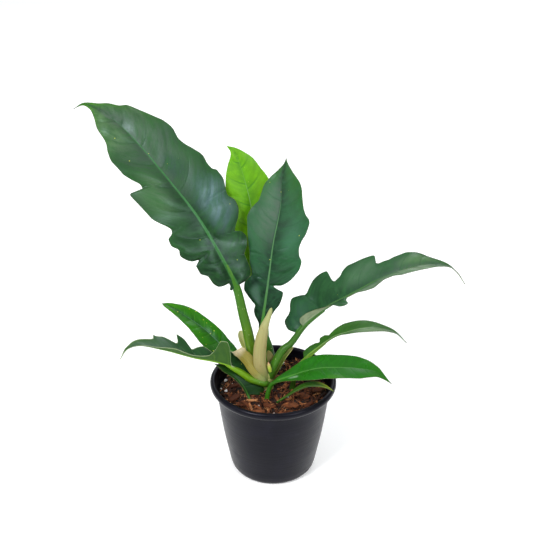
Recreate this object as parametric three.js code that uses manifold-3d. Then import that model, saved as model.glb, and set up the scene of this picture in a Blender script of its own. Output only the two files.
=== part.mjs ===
// Potted philodendron: a black nursery pot, coconut-husk mix, and one rooted crown that carries
// ten lobed leaves and the pale sheaths of earlier ones.
// Millimetres, +Z up. The origin is the centre of the pot's foot, on the surface it stands on.
// -Y is the front of the plant and +X is on its right, seen from the front.

import * as THREE from 'three';
import { mergeVertices } from 'three/addons/utils/BufferGeometryUtils.js';
import Module from 'manifold-3d';

const wasm = await Module();
wasm.setup();

// ---- driving dimensions ----

const POT_HEIGHT = 122;
const RIM_RADIUS = 75;
const MOUTH_RADIUS = 68.6;
const FOOT_RADIUS = 43.5;
const WALL = 1.8;
const POT_SEGMENTS = 36;
const DRAIN_RADIUS = 3.5;
const DRAIN_CIRCLE = 31;
const DRAIN_HOLES = 8;
const MIX_EDGE = 105;
const MIX_CROWN = 109;
const CROWN = [-8, -1];
const CROWN_RADIUS = 8.5;
const STEM_FOOT = 90;
const STEM_TOP = 137;
const GAP = 0.3;
const BLADE = 0.9;
const RIB_DEPTH = 1.5;
const STRIPS = 2;
const ROW_STEP = 0.1;

// ---- colours and finishes ----

const paint = (color, roughness) => new THREE.MeshStandardMaterial({ color, roughness, metalness: 0 });

const looks = {
  pot: paint(0x2a2b33, 0.38),
  mix: paint(0x33251b, 0.95),
  husk: paint(0x5f3d28, 0.9),
  perlite: paint(0xe9e7e2, 0.9),
  root: paint(0xb79f7c, 0.8),
  stem: paint(0x8f9a58, 0.5),
  stalk: paint(0x4a7d22, 0.4),
  darkLeaf: paint(0x35583c, 0.35),
  greenLeaf: paint(0x347318, 0.35),
  youngLeaf: paint(0x74a824, 0.4),
  sheath: paint(0xb6b380, 0.6),
  bud: paint(0x9dbb41, 0.5),
};

// ---- solids ----

/** A manifold solid of a closed geometry. */
function solidOf(geometry) {
  const bare = geometry.clone();
  bare.deleteAttribute('normal');
  bare.deleteAttribute('uv');
  const merged = mergeVertices(bare, 1e-4);
  const index = merged.index.array;
  const faces = [];
  for (let i = 0; i < index.length; i += 3) {
    const [a, b, c] = [index[i], index[i + 1], index[i + 2]];
    if (a !== b && b !== c && c !== a) faces.push(a, b, c);
  }
  return new wasm.Manifold(new wasm.Mesh({
    numProp: 3,
    vertProperties: new Float32Array(merged.attributes.position.array),
    triVerts: new Uint32Array(faces),
  }));
}

/** The geometry of a manifold solid, of its largest body where cuts left crumbs. */
function geometryOf(solid) {
  const bodies = solid.decompose();
  bodies.sort((a, b) => b.volume() - a.volume());
  const mesh = bodies[0].getMesh();
  const geometry = new THREE.BufferGeometry();
  geometry.setAttribute('position', new THREE.BufferAttribute(mesh.vertProperties, 3));
  geometry.setIndex(new THREE.BufferAttribute(mesh.triVerts, 1));
  return geometry;
}

/** A closed solid through rings of points that run anticlockwise about the way they advance. */
function loft(rings) {
  const count = rings[0].length;
  const positions = rings.flat().flatMap((p) => [p.x, p.y, p.z]);
  const faces = [];
  for (let i = 0; i + 1 < rings.length; i += 1) {
    for (let j = 0; j < count; j += 1) {
      const a = i * count + j;
      const b = i * count + ((j + 1) % count);
      faces.push(a, b, b + count, a, b + count, a + count);
    }
  }
  for (const [ring, start, flip] of [[rings[0], 0, true], [rings.at(-1), (rings.length - 1) * count, false]]) {
    const centre = ring.reduce((sum, p) => sum.add(p), new THREE.Vector3()).divideScalar(count);
    const hub = positions.length / 3;
    positions.push(centre.x, centre.y, centre.z);
    for (let j = 0; j < count; j += 1) {
      const a = start + j;
      const b = start + ((j + 1) % count);
      faces.push(...(flip ? [hub, b, a] : [hub, a, b]));
    }
  }
  const geometry = new THREE.BufferGeometry();
  geometry.setAttribute('position', new THREE.Float32BufferAttribute(positions, 3));
  geometry.setIndex(faces);
  return geometry;
}

const vector = ([x, y, z]) => new THREE.Vector3(x, y, z);
const curveOf = (points) => new THREE.CatmullRomCurve3(points.map(vector), false, 'centripetal');

/** A value read from [place, value] pairs, straight between them. */
function read(pairs, place) {
  const last = pairs.length - 1;
  if (place <= pairs[0][0]) return pairs[0][1];
  for (let i = 0; i < last; i += 1) {
    const [p0, v0] = pairs[i];
    const [p1, v1] = pairs[i + 1];
    if (place <= p1) return v0 + ((v1 - v0) * (place - p0)) / (p1 - p0);
  }
  return pairs[last][1];
}

/** A round stalk along a path, its radius read from [place, radius] pairs. */
function rod(path, radii, { sides = 8, steps = 8, swell = 0 } = {}) {
  const curve = curveOf(path);
  const frames = curve.computeFrenetFrames(steps, false);
  const rings = [];
  for (let i = 0; i <= steps; i += 1) {
    const centre = curve.getPointAt(i / steps);
    if (i === 0) centre.addScaledVector(frames.tangents[0], -swell);
    if (i === steps) centre.addScaledVector(frames.tangents[steps], swell);
    const radius = read(radii, i / steps) + swell;
    const ring = [];
    for (let j = 0; j < sides; j += 1) {
      const angle = (2 * Math.PI * j) / sides;
      ring.push(centre.clone()
        .addScaledVector(frames.normals[i], radius * Math.cos(angle))
        .addScaledVector(frames.binormals[i], radius * Math.sin(angle)));
    }
    rings.push(ring);
  }
  return loft(rings);
}

/**
 * A leaf blade or sheath along its rib. Each half reaches out from the rib by its own outline,
 * bent up from the facing direction by `fold` at the rib and by `curl` more at the margin (degrees).
 * `slant` moves the margin towards the tip, as a share of the half's width.
 */
function blade({
  rib, face, slant, slantRight = slant, left, right, fold, foldRight = fold, curl, curlRight = curl,
  thick = BLADE, ridge = RIB_DEPTH, step = ROW_STEP,
}) {
  const curve = curveOf(rib);
  const marks = [...left, ...right].map(([place]) => place).sort((a, b) => a - b);
  const rows = [0];
  for (const mark of marks) {
    const before = rows.at(-1);
    if (mark - before < 0.011) continue;
    const parts = Math.ceil((mark - before) / step);
    for (let k = 1; k <= parts; k += 1) rows.push(before + ((mark - before) * k) / parts);
  }
  rows[rows.length - 1] = 1;

  const rings = rows.map((place) => {
    const centre = curve.getPointAt(place);
    const along = curve.getTangentAt(place);
    const facing = new THREE.Vector3(
      ...[0, 1, 2].map((axis) => read(face.map(([p, v]) => [p, v[axis]]), place)),
    );
    const across = facing.cross(along).normalize();
    const up = along.clone().cross(across);

    const point = (side, share, level) => {
      const width = Math.max(read(side > 0 ? left : right, place), 0.7);
      const start = THREE.MathUtils.degToRad(read(side > 0 ? fold : foldRight, place));
      const bend = THREE.MathUtils.degToRad(read(side > 0 ? curl : curlRight, place)) || 1e-6;
      const angle = start + bend * share;
      const out = (width / bend) * (Math.sin(angle) - Math.sin(start));
      const rise = (width / bend) * (Math.cos(start) - Math.cos(angle));
      const tilt = share > 0 ? angle : 0;
      const lift = level > 0 ? thick / 2 : -thick / 2 - (share > 0 ? 0 : ridge * (1 - 0.6 * place));
      return centre.clone()
        .addScaledVector(across, side * (out - lift * Math.sin(tilt)))
        .addScaledVector(up, rise + lift * Math.cos(tilt))
        .addScaledVector(along, read(side > 0 ? slant : slantRight, place) * width * share);
    };
    const ring = [];
    for (let k = STRIPS; k > 0; k -= 1) ring.push(point(1, k / STRIPS, 1));
    for (let k = 0; k <= STRIPS; k += 1) ring.push(point(-1, k / STRIPS, 1));
    for (let k = STRIPS; k > 0; k -= 1) ring.push(point(-1, k / STRIPS, -1));
    for (let k = 0; k <= STRIPS; k += 1) ring.push(point(1, k / STRIPS, -1));
    return ring;
  });
  return loft(rings);
}

/** A cylinder along Z, standing on z = foot. */
function post(radius, foot, height, x, y, sides) {
  const geometry = new THREE.CylinderGeometry(radius, radius, height, sides);
  geometry.rotateX(Math.PI / 2);
  geometry.translate(x, y, foot + height / 2);
  return geometry;
}

/** A solid of revolution about Z from [radius, height] points that start and end on the axis. */
function turned(profile, segments) {
  const geometry = new THREE.LatheGeometry(profile.map(([r, z]) => new THREE.Vector2(r, z)), segments);
  geometry.rotateX(Math.PI / 2);
  return geometry;
}

// ---- assembly ----

const group = new THREE.Group();
group.name = 'potted_philodendron';

function place(name, geometry, material) {
  const mesh = new THREE.Mesh(geometry, material);
  mesh.name = name;
  group.add(mesh);
}

const taken = [];

/**
 * Adds a grown piece, cut clear of all grown pieces before it. Each later piece is cut by `swollen`,
 * the same shape grown by the gap.
 */
function grow(name, geometry, material, swollen) {
  const box = (g) => {
    g.computeBoundingBox();
    return g.boundingBox;
  };
  const here = box(geometry);
  const near = taken.filter((other) => other.box.intersectsBox(here));
  const cut = near.reduce((solid, other) => solid.subtract(other.solid), solidOf(geometry));
  place(name, near.length ? geometryOf(cut) : geometry, material);
  if (swollen) taken.push({ name, solid: solidOf(swollen), box: box(swollen).clone().expandByScalar(GAP) });
}

function growRod(name, material, path, radii, options = {}) {
  grow(name, rod(path, radii, options), material, rod(path, radii, { ...options, swell: GAP }));
}

function growBlade(name, material, shape) {
  const { thick = BLADE, ridge = RIB_DEPTH } = shape;
  grow(name, blade(shape), material, blade({ ...shape, thick: thick + 2 * GAP, ridge }));
}

// ---- pot: one moulded cup with a rolled rim, a foot ring and drainage holes ----

const potOutside = [
  [0, 0], [22, 0], [25, 3], [36, 3], [38.5, 0], [FOOT_RADIUS, 0], [49.5, 3], [52.6, 12], [59.6, 50],
  [64.9, 88], [66.8, 105], [68.4, 111], [RIM_RADIUS - 2, 114.5], [RIM_RADIUS, 117.5],
  [RIM_RADIUS - 1, 120.5], [RIM_RADIUS - 3, POT_HEIGHT], [MOUTH_RADIUS + 1.2, POT_HEIGHT - 1],
  [MOUTH_RADIUS, POT_HEIGHT - 3.5], [MOUTH_RADIUS - 0.4, 115],
];
const potInside = [
  [66.5, 111.5], [65, 105], [64.9 - WALL, 88], [59.6 - WALL, 50], [52.6 - WALL, 13], [48, 3 + WALL],
  [23.8, 3 + WALL], [20.8, WALL], [0, WALL],
];
let potSolid = solidOf(turned([...potOutside, ...potInside], POT_SEGMENTS));
for (let i = 0; i < DRAIN_HOLES; i += 1) {
  const angle = (2 * Math.PI * (i + 0.5)) / DRAIN_HOLES;
  const [x, y] = [DRAIN_CIRCLE * Math.cos(angle), DRAIN_CIRCLE * Math.sin(angle)];
  potSolid = potSolid.subtract(solidOf(post(DRAIN_RADIUS, 1, 8, x, y, 8)));
}
place('pot', geometryOf(potSolid), looks.pot);

// ---- crown: a short stem with leaf scars, and the roots that it grows from ----

const [cx, cy] = CROWN;
const scars = [[0, 6.5], [0.2, 8], [0.35, CROWN_RADIUS], [0.5, 8], [0.6, CROWN_RADIUS], [0.75, 7.8],
  [0.85, 8], [1, 4]];
const stemPath = [[cx, cy, STEM_FOOT], [cx, cy, 113], [cx, cy, STEM_TOP]];
growRod('stem', looks.stem, stemPath, scars, { sides: 12, steps: 12 });

const rootStock = [[cx, cy, 68], [cx, cy, 80], [cx, cy, STEM_FOOT - GAP]];
const rootParts = (swell) => {
  let solid = solidOf(rod(rootStock, [[0, 3], [0.5, 6], [1, 6.5]], { steps: 3, swell }));
  for (let i = 0; i < 7; i += 1) {
    const angle = (2 * Math.PI * i) / 7;
    const at = (reach, height) => [cx * (1 - reach / 48) + reach * Math.cos(angle),
      reach * Math.sin(angle), height - 6 * (i % 2)];
    const path = [at(2, 84), at(16, 80), at(32, 62), at(38, 40), at(36, 20)];
    solid = solid.add(solidOf(rod(path, [[0, 2.2], [1, 1]], { sides: 5, steps: 4, swell })));
  }
  return solid;
};
place('roots', geometryOf(rootParts(0)), looks.root);

// ---- leaf stalks, the thickest and most upright first ----

const up = [0, 0, 1];

const ribs = {
  tall: [[-43, 16, 239], [-60, 26, 271], [-86, 41, 313], [-121, 61, 353], [-155, 81, 388], [-186, 98, 412],
    [-217, 117, 421], [-232, 125, 413]],
  young: [[-12, 52, 215], [-20, 62, 262], [-26, 72, 312], [-33, 82, 340], [-45, 92, 372], [-54, 94, 379]],
  centre: [[-14, 22, 176], [-6, 34, 233], [0, 44, 279], [8, 52, 321], [10, 56, 358], [14, 54, 380]],
  arching: [[20, 4, 169], [38, 10, 192], [63, 18, 209], [90, 27, 220], [126, 39, 235], [161, 50, 243],
    [186, 59, 243], [209, 66, 237], [221, 70, 226], [233, 74, 208]],
  small: [[37, 4, 146], [48, 7, 155], [72, 12, 172], [86, 16, 175], [104, 20, 178], [123, 25, 176],
    [145, 31, 166], [161, 35, 149]],
  front: [[-1, -21, 129], [5, -22, 133], [19, -24, 140], [35, -26, 148], [53, -28, 154], [70, -31, 157],
    [94, -34, 158], [117, -37, 155], [135, -40, 141]],
  sliver: [[5, -30, 109], [16, -31, 117], [27, -32, 126], [38, -32, 132], [49, -33, 134], [58, -34, 133],
    [70, -35, 127]],
  upper: [[-42, 7, 150], [-57, 11, 157], [-84, 18, 181], [-111, 25, 198], [-123, 28, 204], [-131, 31, 206]],
  lower: [[-26, -12.5, 129.5], [-49, -15, 148], [-70, -19, 158], [-90, -23, 165], [-124, -28, 179],
    [-152, -33, 188], [-165, -36, 185], [-174, -37, 172]],
  basal: [[-27, -25, 107], [-30, -22, 113], [-35, -19, 123], [-44, -16, 133], [-57, -14, 142], [-69, -12, 150]],
};

/** Each stalk runs from the crown or the mix to its blade, where the rib begins. */
const stalks = {
  tall: {
    path: [[-14, 4, 126], [-24, 9, 148], [-30, 11, 179], [-35, 13, 201]],
    radii: [[0, 6], [0.3, 6.2], [1, 4.2]],
  },
  centre: { path: [[-1, 10, 124], [-3, 16, 146], [-9, 21, 166]], radii: [[0, 4.8], [0.4, 4.4], [1, 3.2]] },
  young: { path: [[-9, 9, 128], [-9, 30, 165]], radii: [[0, 4.5], [1, 3]] },
  arching: { path: [[-3, -3, 132], [11, 2, 160]], radii: [[0, 5], [1, 4.2]] },
  lower: {
    path: [[-5, -6, 117], [-9, -11.5, 120.5], [-17, -13, 124.5]],
    radii: [[0, 3.8], [0.4, 4.9], [1, 3.8]],
  },
  upper: { path: [[-13, 1, 123], [-24, 3, 136]], radii: [[0, 4.5], [1, 3.2]] },
  small: { path: [[21, -10, 98], [24, -4, 120], [29, 1, 135]], radii: [[0, 3.4], [1, 2.4]] },
  front: { path: [[-8, -26, 98], [-7, -24, 113], [-4, -21, 123]], radii: [[0, 2.8], [1, 2.4]] },
  sliver: { path: [[2, -29, 98], [4, -29.5, 105]], radii: [[0, 1.6], [1, 1.3]] },
  basal: { path: [[-25, -28, 97], [-26, -26, 103]], radii: [[0, 2.2], [1, 2]] },
};
for (const [leaf, { path, radii }] of Object.entries(stalks)) {
  growRod(`${leaf}_leaf_stalk`, looks.stalk, [...path, ribs[leaf][0]], radii);
}

// ---- sheaths: papery leaf bases and the bud's wrapping, around the crown ----

growRod('centre_sheath', looks.sheath,
  [[-11, -6, 121], [-15, -6, 143], [-16, -6, 158], [-14.5, -6, 177], [-10, -5.5, 197], [-5, -4, 211],
    [-2.5, -3, 219]],
  [[0, 6], [0.1, 8.6], [0.35, 7.6], [0.5, 7.2], [0.66, 6.3], [0.77, 4.9], [0.88, 3.3], [1, 1]], { steps: 16 });

const sheathFace = (x, y, z) => [[0, [x, y, z]], [1, [x, y, z]]];
const channel = { slant: [[0, 0], [1, 0]], thick: 1, ridge: 0.4, step: 0.2 };
growBlade('back_sheath', looks.sheath, {
  ...channel,
  rib: [[-22, 12, 137], [-31, 15, 151], [-36.5, 17, 164], [-39, 18, 176.5]],
  face: sheathFace(0.2, -1, 0.2),
  left: [[0, 3.2], [0.5, 4.2], [0.85, 4.4], [0.95, 3.6], [1, 1.6]],
  right: [[0, 3.2], [0.5, 4.2], [0.85, 4.4], [0.95, 3.6], [1, 1.6]],
  fold: [[0, 10], [1, 10]],
  curl: [[0, 40], [1, 30]],
});
growBlade('left_sheath', looks.sheath, {
  ...channel,
  rib: [[-15, -5, 126], [-22, -6, 137], [-31, -3, 148], [-41, 1, 158]],
  face: sheathFace(0.5, -0.3, 0.85),
  left: [[0, 6], [0.3, 7], [0.7, 7], [0.95, 7.5], [1, 5]],
  right: [[0, 6], [0.4, 8.5], [0.75, 9.5], [0.95, 10], [1, 7]],
  fold: [[0, 30], [1, 15]],
  curl: [[0, 60], [1, 35]],
});
growBlade('right_sheath', looks.sheath, {
  ...channel,
  rib: [[0, 0, 121], [7, 2, 134], [14, 4, 147], [23.5, 5.5, 161.5]],
  face: sheathFace(-0.4, -0.3, 0.9),
  left: [[0, 3], [0.5, 3.6], [0.8, 3.2], [0.95, 2], [1, 0.8]],
  right: [[0, 3], [0.5, 3.6], [0.8, 3.2], [0.95, 2], [1, 0.8]],
  fold: [[0, 15], [1, 15]],
  curl: [[0, 50], [1, 30]],
});
growBlade('inner_sheath', looks.sheath, {
  ...channel,
  rib: [[-1, 3, 128], [-2, 4.5, 141], [-6, 5, 157]],
  face: sheathFace(0.1, -1, 0.2),
  left: [[0, 4], [0.5, 4.4], [0.9, 3], [1, 0.8]],
  right: [[0, 4], [0.5, 4.4], [0.9, 3], [1, 0.8]],
  fold: [[0, 0], [1, 0]],
  curl: [[0, 30], [1, 20]],
});
const budPath = [[-3, -9.5, 137], [-4, -10, 143], [-5.5, -9, 150]];
growRod('bud', looks.bud, budPath, [[0, 1.8], [0.4, 2.4], [1, 0.6]], { steps: 5 });

// ---- leaf blades: [place along the rib, half width] outlines, lobed on the dark leaves ----

const gentle = { curl: [[0, -11], [1, -16]] };
const flat = { curl: [[0, 0], [1, 0]] };

growBlade('tall_leaf_blade', looks.darkLeaf, {
  ...gentle,
  rib: ribs.tall,
  face: [[0, [0.2, -0.8, 0.55]], [1, [0.25, -0.7, 0.66]]],
  slant: [[0, -0.4], [0.15, -0.2], [0.4, 0.25], [0.5, 0.5], [0.6, 0.4], [1, 0.6]],
  slantRight: [[0, -0.5], [0.12, -0.4], [0.25, -0.2], [0.5, 0.2], [1, 0.5]],
  left: [[0, 4], [0.02, 6], [0.037, 13.5], [0.052, 20], [0.077, 23.5], [0.103, 24.5], [0.135, 31],
    [0.16, 31], [0.17, 24.5], [0.18, 31.5], [0.2, 38], [0.223, 41.5], [0.238, 39.5], [0.265, 44],
    [0.287, 42.5], [0.297, 35.5], [0.31, 33.5], [0.325, 35.5], [0.345, 40], [0.372, 44.5], [0.427, 45.5],
    [0.45, 45], [0.458, 43], [0.463, 38], [0.468, 30], [0.482, 30], [0.505, 34], [0.542, 38], [0.605, 38],
    [0.66, 33.5], [0.698, 28], [0.775, 21.5], [0.84, 11.5], [0.89, 5], [0.945, 1.5], [1, 0]],
  right: [[0, 3], [0.012, 10], [0.037, 20], [0.062, 24], [0.095, 25], [0.122, 26.5], [0.155, 33.5],
    [0.185, 38], [0.202, 36.5], [0.208, 30.5], [0.223, 33.5], [0.25, 41.5], [0.275, 46.5], [0.295, 47.5],
    [0.315, 44], [0.338, 47.5], [0.37, 52], [0.39, 52], [0.404, 48.5], [0.422, 48], [0.448, 49.5],
    [0.485, 46], [0.522, 42], [0.55, 40.5], [0.59, 43], [0.625, 41], [0.66, 36.5], [0.728, 29], [0.768, 24],
    [0.797, 17], [0.843, 12], [0.888, 6], [0.94, 2], [1, 0]],
  fold: [[0, 8], [1, 8]],
});

growBlade('young_leaf_blade', looks.youngLeaf, {
  ...gentle,
  rib: ribs.young,
  face: [[0, [0.1, -0.85, 0.5]], [1, [0.1, -0.8, 0.6]]],
  slant: [[0, 0.1], [1, 0.5]],
  left: [[0, 3], [0.1, 14], [0.3, 24], [0.5, 27], [0.68, 24.5], [0.75, 22.5], [0.83, 16.5], [0.93, 5],
    [1, 0]],
  right: [[0, 3], [0.1, 16], [0.3, 26], [0.5, 30], [0.66, 27], [0.74, 22], [0.82, 17], [0.89, 9.5],
    [0.955, 3], [1, 0]],
  fold: [[0, 14], [1, 12]],
});

growBlade('centre_leaf_blade', looks.darkLeaf, {
  ...gentle,
  rib: ribs.centre,
  face: [[0, [-0.1, -0.9, 0.4]], [1, [-0.1, -0.85, 0.5]]],
  slant: [[0, 0], [0.5, 0.1], [1, 0.4]],
  slantRight: [[0, 0.3], [0.2, 0.3], [0.26, -0.1], [0.5, 0.1], [1, 0.4]],
  left: [[0, 2], [0.04, 5], [0.08, 10.5], [0.105, 12], [0.133, 11.5], [0.155, 15.5], [0.185, 21.5],
    [0.22, 27], [0.253, 27.5], [0.273, 25], [0.307, 20.5], [0.333, 21], [0.362, 23.5], [0.425, 26],
    [0.47, 28.5], [0.557, 33.5], [0.6, 35.5], [0.628, 34.5], [0.675, 30], [0.708, 26], [0.753, 23.5],
    [0.812, 20], [0.85, 15], [0.91, 6], [0.963, 1.2], [1, 0]],
  right: [[0, 2], [0.04, 5], [0.08, 10], [0.11, 13], [0.143, 17.5], [0.195, 19.5], [0.245, 18],
    [0.256, 11.5], [0.264, 7], [0.28, 15], [0.312, 23.5], [0.352, 30.5], [0.39, 35], [0.422, 36],
    [0.453, 32.5], [0.495, 31], [0.53, 32], [0.583, 35.5], [0.63, 36.5], [0.652, 35], [0.67, 31],
    [0.705, 27], [0.753, 24.5], [0.79, 23.5], [0.823, 21.5], [0.873, 16], [0.925, 9.5], [0.97, 3], [1, 0]],
  fold: [[0, 14], [1, 14]],
});

growBlade('arching_leaf_blade', looks.darkLeaf, {
  ...flat,
  rib: ribs.arching,
  face: [[0, up], [1, up]],
  slant: [[0, -0.8], [0.12, -0.6], [0.2, -0.2], [0.3, 0.15], [0.5, 0.5], [1, 0.5]],
  slantRight: [[0, -0.4], [0.12, -0.3], [0.2, 0], [0.3, 0.3], [0.5, 0.4], [1, 0.5]],
  left: [[0, 0.5], [0.05, 1], [0.056, 3], [0.067, 12], [0.085, 18.5], [0.105, 23.5], [0.122, 24.5],
    [0.14, 26], [0.16, 32.5], [0.175, 36.5], [0.19, 34.5], [0.208, 32], [0.233, 37.5], [0.255, 43.5],
    [0.276, 46], [0.286, 45], [0.291, 40], [0.295, 33], [0.3, 29], [0.312, 27.5], [0.335, 28.5],
    [0.36, 34.5], [0.388, 38], [0.425, 37.5], [0.46, 35], [0.474, 32.5], [0.479, 28], [0.485, 22.5],
    [0.512, 20.5], [0.542, 21], [0.573, 23.5], [0.62, 24.5], [0.672, 21], [0.735, 15], [0.802, 7.5],
    [0.855, 3.5], [0.93, 2], [1, 0]],
  right: [[0, 0.5], [0.095, 1], [0.11, 8], [0.13, 12.5], [0.15, 12.5], [0.17, 11], [0.19, 9.5], [0.22, 5.5],
    [0.242, 3], [0.262, 12], [0.283, 14.5], [0.305, 12], [0.315, 5], [0.34, 1.2], [0.375, 2], [0.413, 8],
    [0.44, 11], [0.475, 8], [0.515, 4.5], [0.552, 5], [0.583, 11], [0.628, 13], [0.69, 10.5], [0.76, 9.5],
    [0.84, 5], [0.92, 2], [1, 0]],
  fold: [[0, 24], [1, 16]],
  foldRight: [[0, 78], [0.16, 75], [0.235, 45], [0.27, 0], [0.32, -5], [0.45, 0], [0.6, 6], [1, 6]],
});

growBlade('small_leaf_blade', looks.darkLeaf, {
  ...flat,
  rib: ribs.small,
  face: [[0, up], [1, up]],
  slant: [[0, 0.1], [1, 0.5]],
  left: [[0, 2], [0.02, 8], [0.08, 9], [0.13, 8], [0.17, 5.5], [0.183, 9.5], [0.223, 9], [0.265, 6.5],
    [0.34, 10.5], [0.4, 13.5], [0.478, 12.5], [0.557, 11.5], [0.64, 9.5], [0.733, 6], [0.833, 4],
    [0.91, 2.5], [1, 0]],
  right: [[0, 2], [0.2, 1.5], [0.35, 2.5], [0.395, 4.5], [0.46, 7.5], [0.527, 10], [0.61, 11], [0.713, 8],
    [0.838, 3.5], [0.907, 1.5], [1, 0]],
  fold: [[0, 24], [1, 16]],
  foldRight: [[0, 24], [0.2, 8], [1, 5]],
});

growBlade('front_leaf_blade', looks.greenLeaf, {
  rib: ribs.front,
  face: [[0, [0, -0.2, 1]], [1, [0, -0.2, 1]]],
  slant: [[0, 0.2], [1, 0.6]],
  left: [[0, 2], [0.095, 7], [0.2, 13], [0.3, 17], [0.41, 18], [0.5, 18], [0.61, 17], [0.71, 14], [0.82, 8],
    [0.9, 3.5], [1, 0]],
  right: [[0, 2], [0.095, 5], [0.17, 9], [0.265, 15], [0.343, 17], [0.463, 17], [0.62, 16], [0.76, 11],
    [0.85, 6], [0.95, 1.5], [1, 0]],
  fold: [[0, 20], [1, 10]],
  foldRight: [[0, 10], [0.3, 2], [1, 0]],
  curl: [[0, -5], [1, -8]],
});

growBlade('upper_leaf_blade', looks.greenLeaf, {
  rib: ribs.upper,
  face: [[0, [0.3, -0.35, 0.85]], [1, [0.1, -0.35, 0.9]]],
  slant: [[0, 0.2], [1, 0.6]],
  left: [[0, 2], [0.06, 14], [0.14, 21], [0.208, 22.5], [0.348, 22], [0.413, 20], [0.485, 17], [0.57, 13.5],
    [0.66, 11], [0.75, 8.5], [0.87, 5.5], [0.948, 3], [1, 0]],
  right: [[0, 4], [0.03, 6.5], [0.068, 9.5], [0.158, 12.5], [0.268, 14], [0.338, 14], [0.463, 13.5],
    [0.58, 13.5], [0.713, 11.5], [0.825, 7.5], [0.94, 3], [1, 0]],
  fold: [[0, 15], [1, 12]],
  curl: [[0, -5], [1, -8]],
});

growBlade('lower_leaf_blade', looks.darkLeaf, {
  ...flat,
  rib: ribs.lower,
  face: [[0, up], [1, up]],
  slant: [[0, 0], [0.3, 0.2], [0.5, 0.45], [1, 0.5]],
  slantRight: [[0, -0.3], [0.2, 0], [0.35, 0.2], [0.5, 0.75], [0.7, 0.6], [1, 0.5]],
  left: [[0, 1], [0.17, 1.5], [0.188, 5], [0.212, 12.5], [0.23, 18.5], [0.247, 26.5], [0.265, 31.5],
    [0.285, 32], [0.3, 28.5], [0.309, 20.5], [0.32, 14.5], [0.34, 9], [0.37, 6.5], [0.413, 4.8],
    [0.453, 4.2], [0.503, 5.5], [0.562, 7], [0.625, 5.5], [0.7, 4.5], [0.8, 4], [0.9, 2.5], [1, 0]],
  right: [[0, 9], [0.03, 16], [0.085, 19], [0.133, 20], [0.165, 17.5], [0.19, 20.5], [0.21, 16], [0.25, 10],
    [0.3, 9], [0.33, 11], [0.345, 15.5], [0.357, 17.5], [0.39, 15.5], [0.42, 13], [0.43, 17], [0.438, 23],
    [0.455, 25.5], [0.47, 26.5], [0.478, 23.5], [0.49, 18.5], [0.508, 14.5], [0.54, 14], [0.57, 16],
    [0.605, 18], [0.645, 17.5], [0.672, 18], [0.68, 15.5], [0.693, 12.5], [0.74, 10], [0.797, 9],
    [0.835, 7.5], [0.883, 4], [0.932, 2.2], [1, 0]],
  fold: [[0, 80], [0.15, 84], [0.3, 78], [0.36, 70], [0.6, 68], [0.75, 40], [1, 18]],
  foldRight: [[0, 30], [1, 18]],
});

growBlade('sliver_leaf_blade', looks.greenLeaf, {
  ...flat,
  rib: ribs.sliver,
  face: [[0, up], [1, up]],
  slant: [[0, 0.2], [1, 0.6]],
  left: [[0, 1], [0.2, 3], [0.4, 5], [0.6, 6], [0.8, 4], [0.92, 2], [1, 0]],
  right: [[0, 1], [0.2, 2.5], [0.4, 4.5], [0.6, 5], [0.8, 3.5], [0.92, 1.5], [1, 0]],
  fold: [[0, 22], [1, 12]],
  ridge: 0.8,
});

growBlade('basal_leaf_blade', looks.darkLeaf, {
  ...flat,
  rib: ribs.basal,
  face: [[0, [0.4, -0.6, 0.7]], [1, [0.2, -0.3, 0.9]]],
  slant: [[0, 0], [1, 0.2]],
  slantRight: [[0, -0.8], [0.5, -0.5], [1, 0]],
  left: [[0, 1], [0.3, 3], [0.7, 3], [1, 0]],
  right: [[0, 1], [0.1, 1.6], [0.135, 4], [0.143, 10], [0.16, 15.5], [0.223, 20.5], [0.3, 21], [0.45, 17],
    [0.6, 10], [0.8, 6], [1, 0]],
  fold: [[0, 10], [1, 10]],
  ridge: 0.8,
});

// ---- potting mix: fills the pot to below its rim, moulded around the roots and stalks ----

const mixProfile = [
  [0, WALL + GAP], [20.6, WALL + GAP], [23.6, 3 + WALL + GAP], [47.4, 3 + WALL + GAP], [52.3 - WALL, 14],
  [59.2 - WALL, 50], [64.5 - WALL, 88], [64.2, 104], [63.5, MIX_EDGE], [45, 107], [22, 108.4], [0, MIX_CROWN],
];
let mixSolid = solidOf(turned(mixProfile, 28)).subtract(rootParts(GAP));
for (const { solid } of taken) mixSolid = mixSolid.subtract(solid);
place('potting_mix', geometryOf(mixSolid), looks.mix);

// ---- loose husk chips and perlite grains on the mix ----

/** A chip's corners: a split sliver of husk, thinner and narrower at one end. */
function chip(length, width, height) {
  const geometry = new THREE.BoxGeometry(length, width, height);
  const position = geometry.attributes.position;
  for (let i = 0; i < position.count; i += 1) {
    if (position.getX(i) > 0) {
      position.setY(i, position.getY(i) * 0.6);
      position.setZ(i, position.getZ(i) * 0.7);
    }
  }
  return geometry;
}

const mixTop = solidOf(turned([
  [0, 60], [64, 60], [64, MIX_EDGE + GAP], [45, 107 + GAP], [22, 108.4 + GAP], [0, MIX_CROWN + GAP],
], 28));

const mixBox = new THREE.Box3(new THREE.Vector3(-99, -99, 0), new THREE.Vector3(99, 99, 110));

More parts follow.
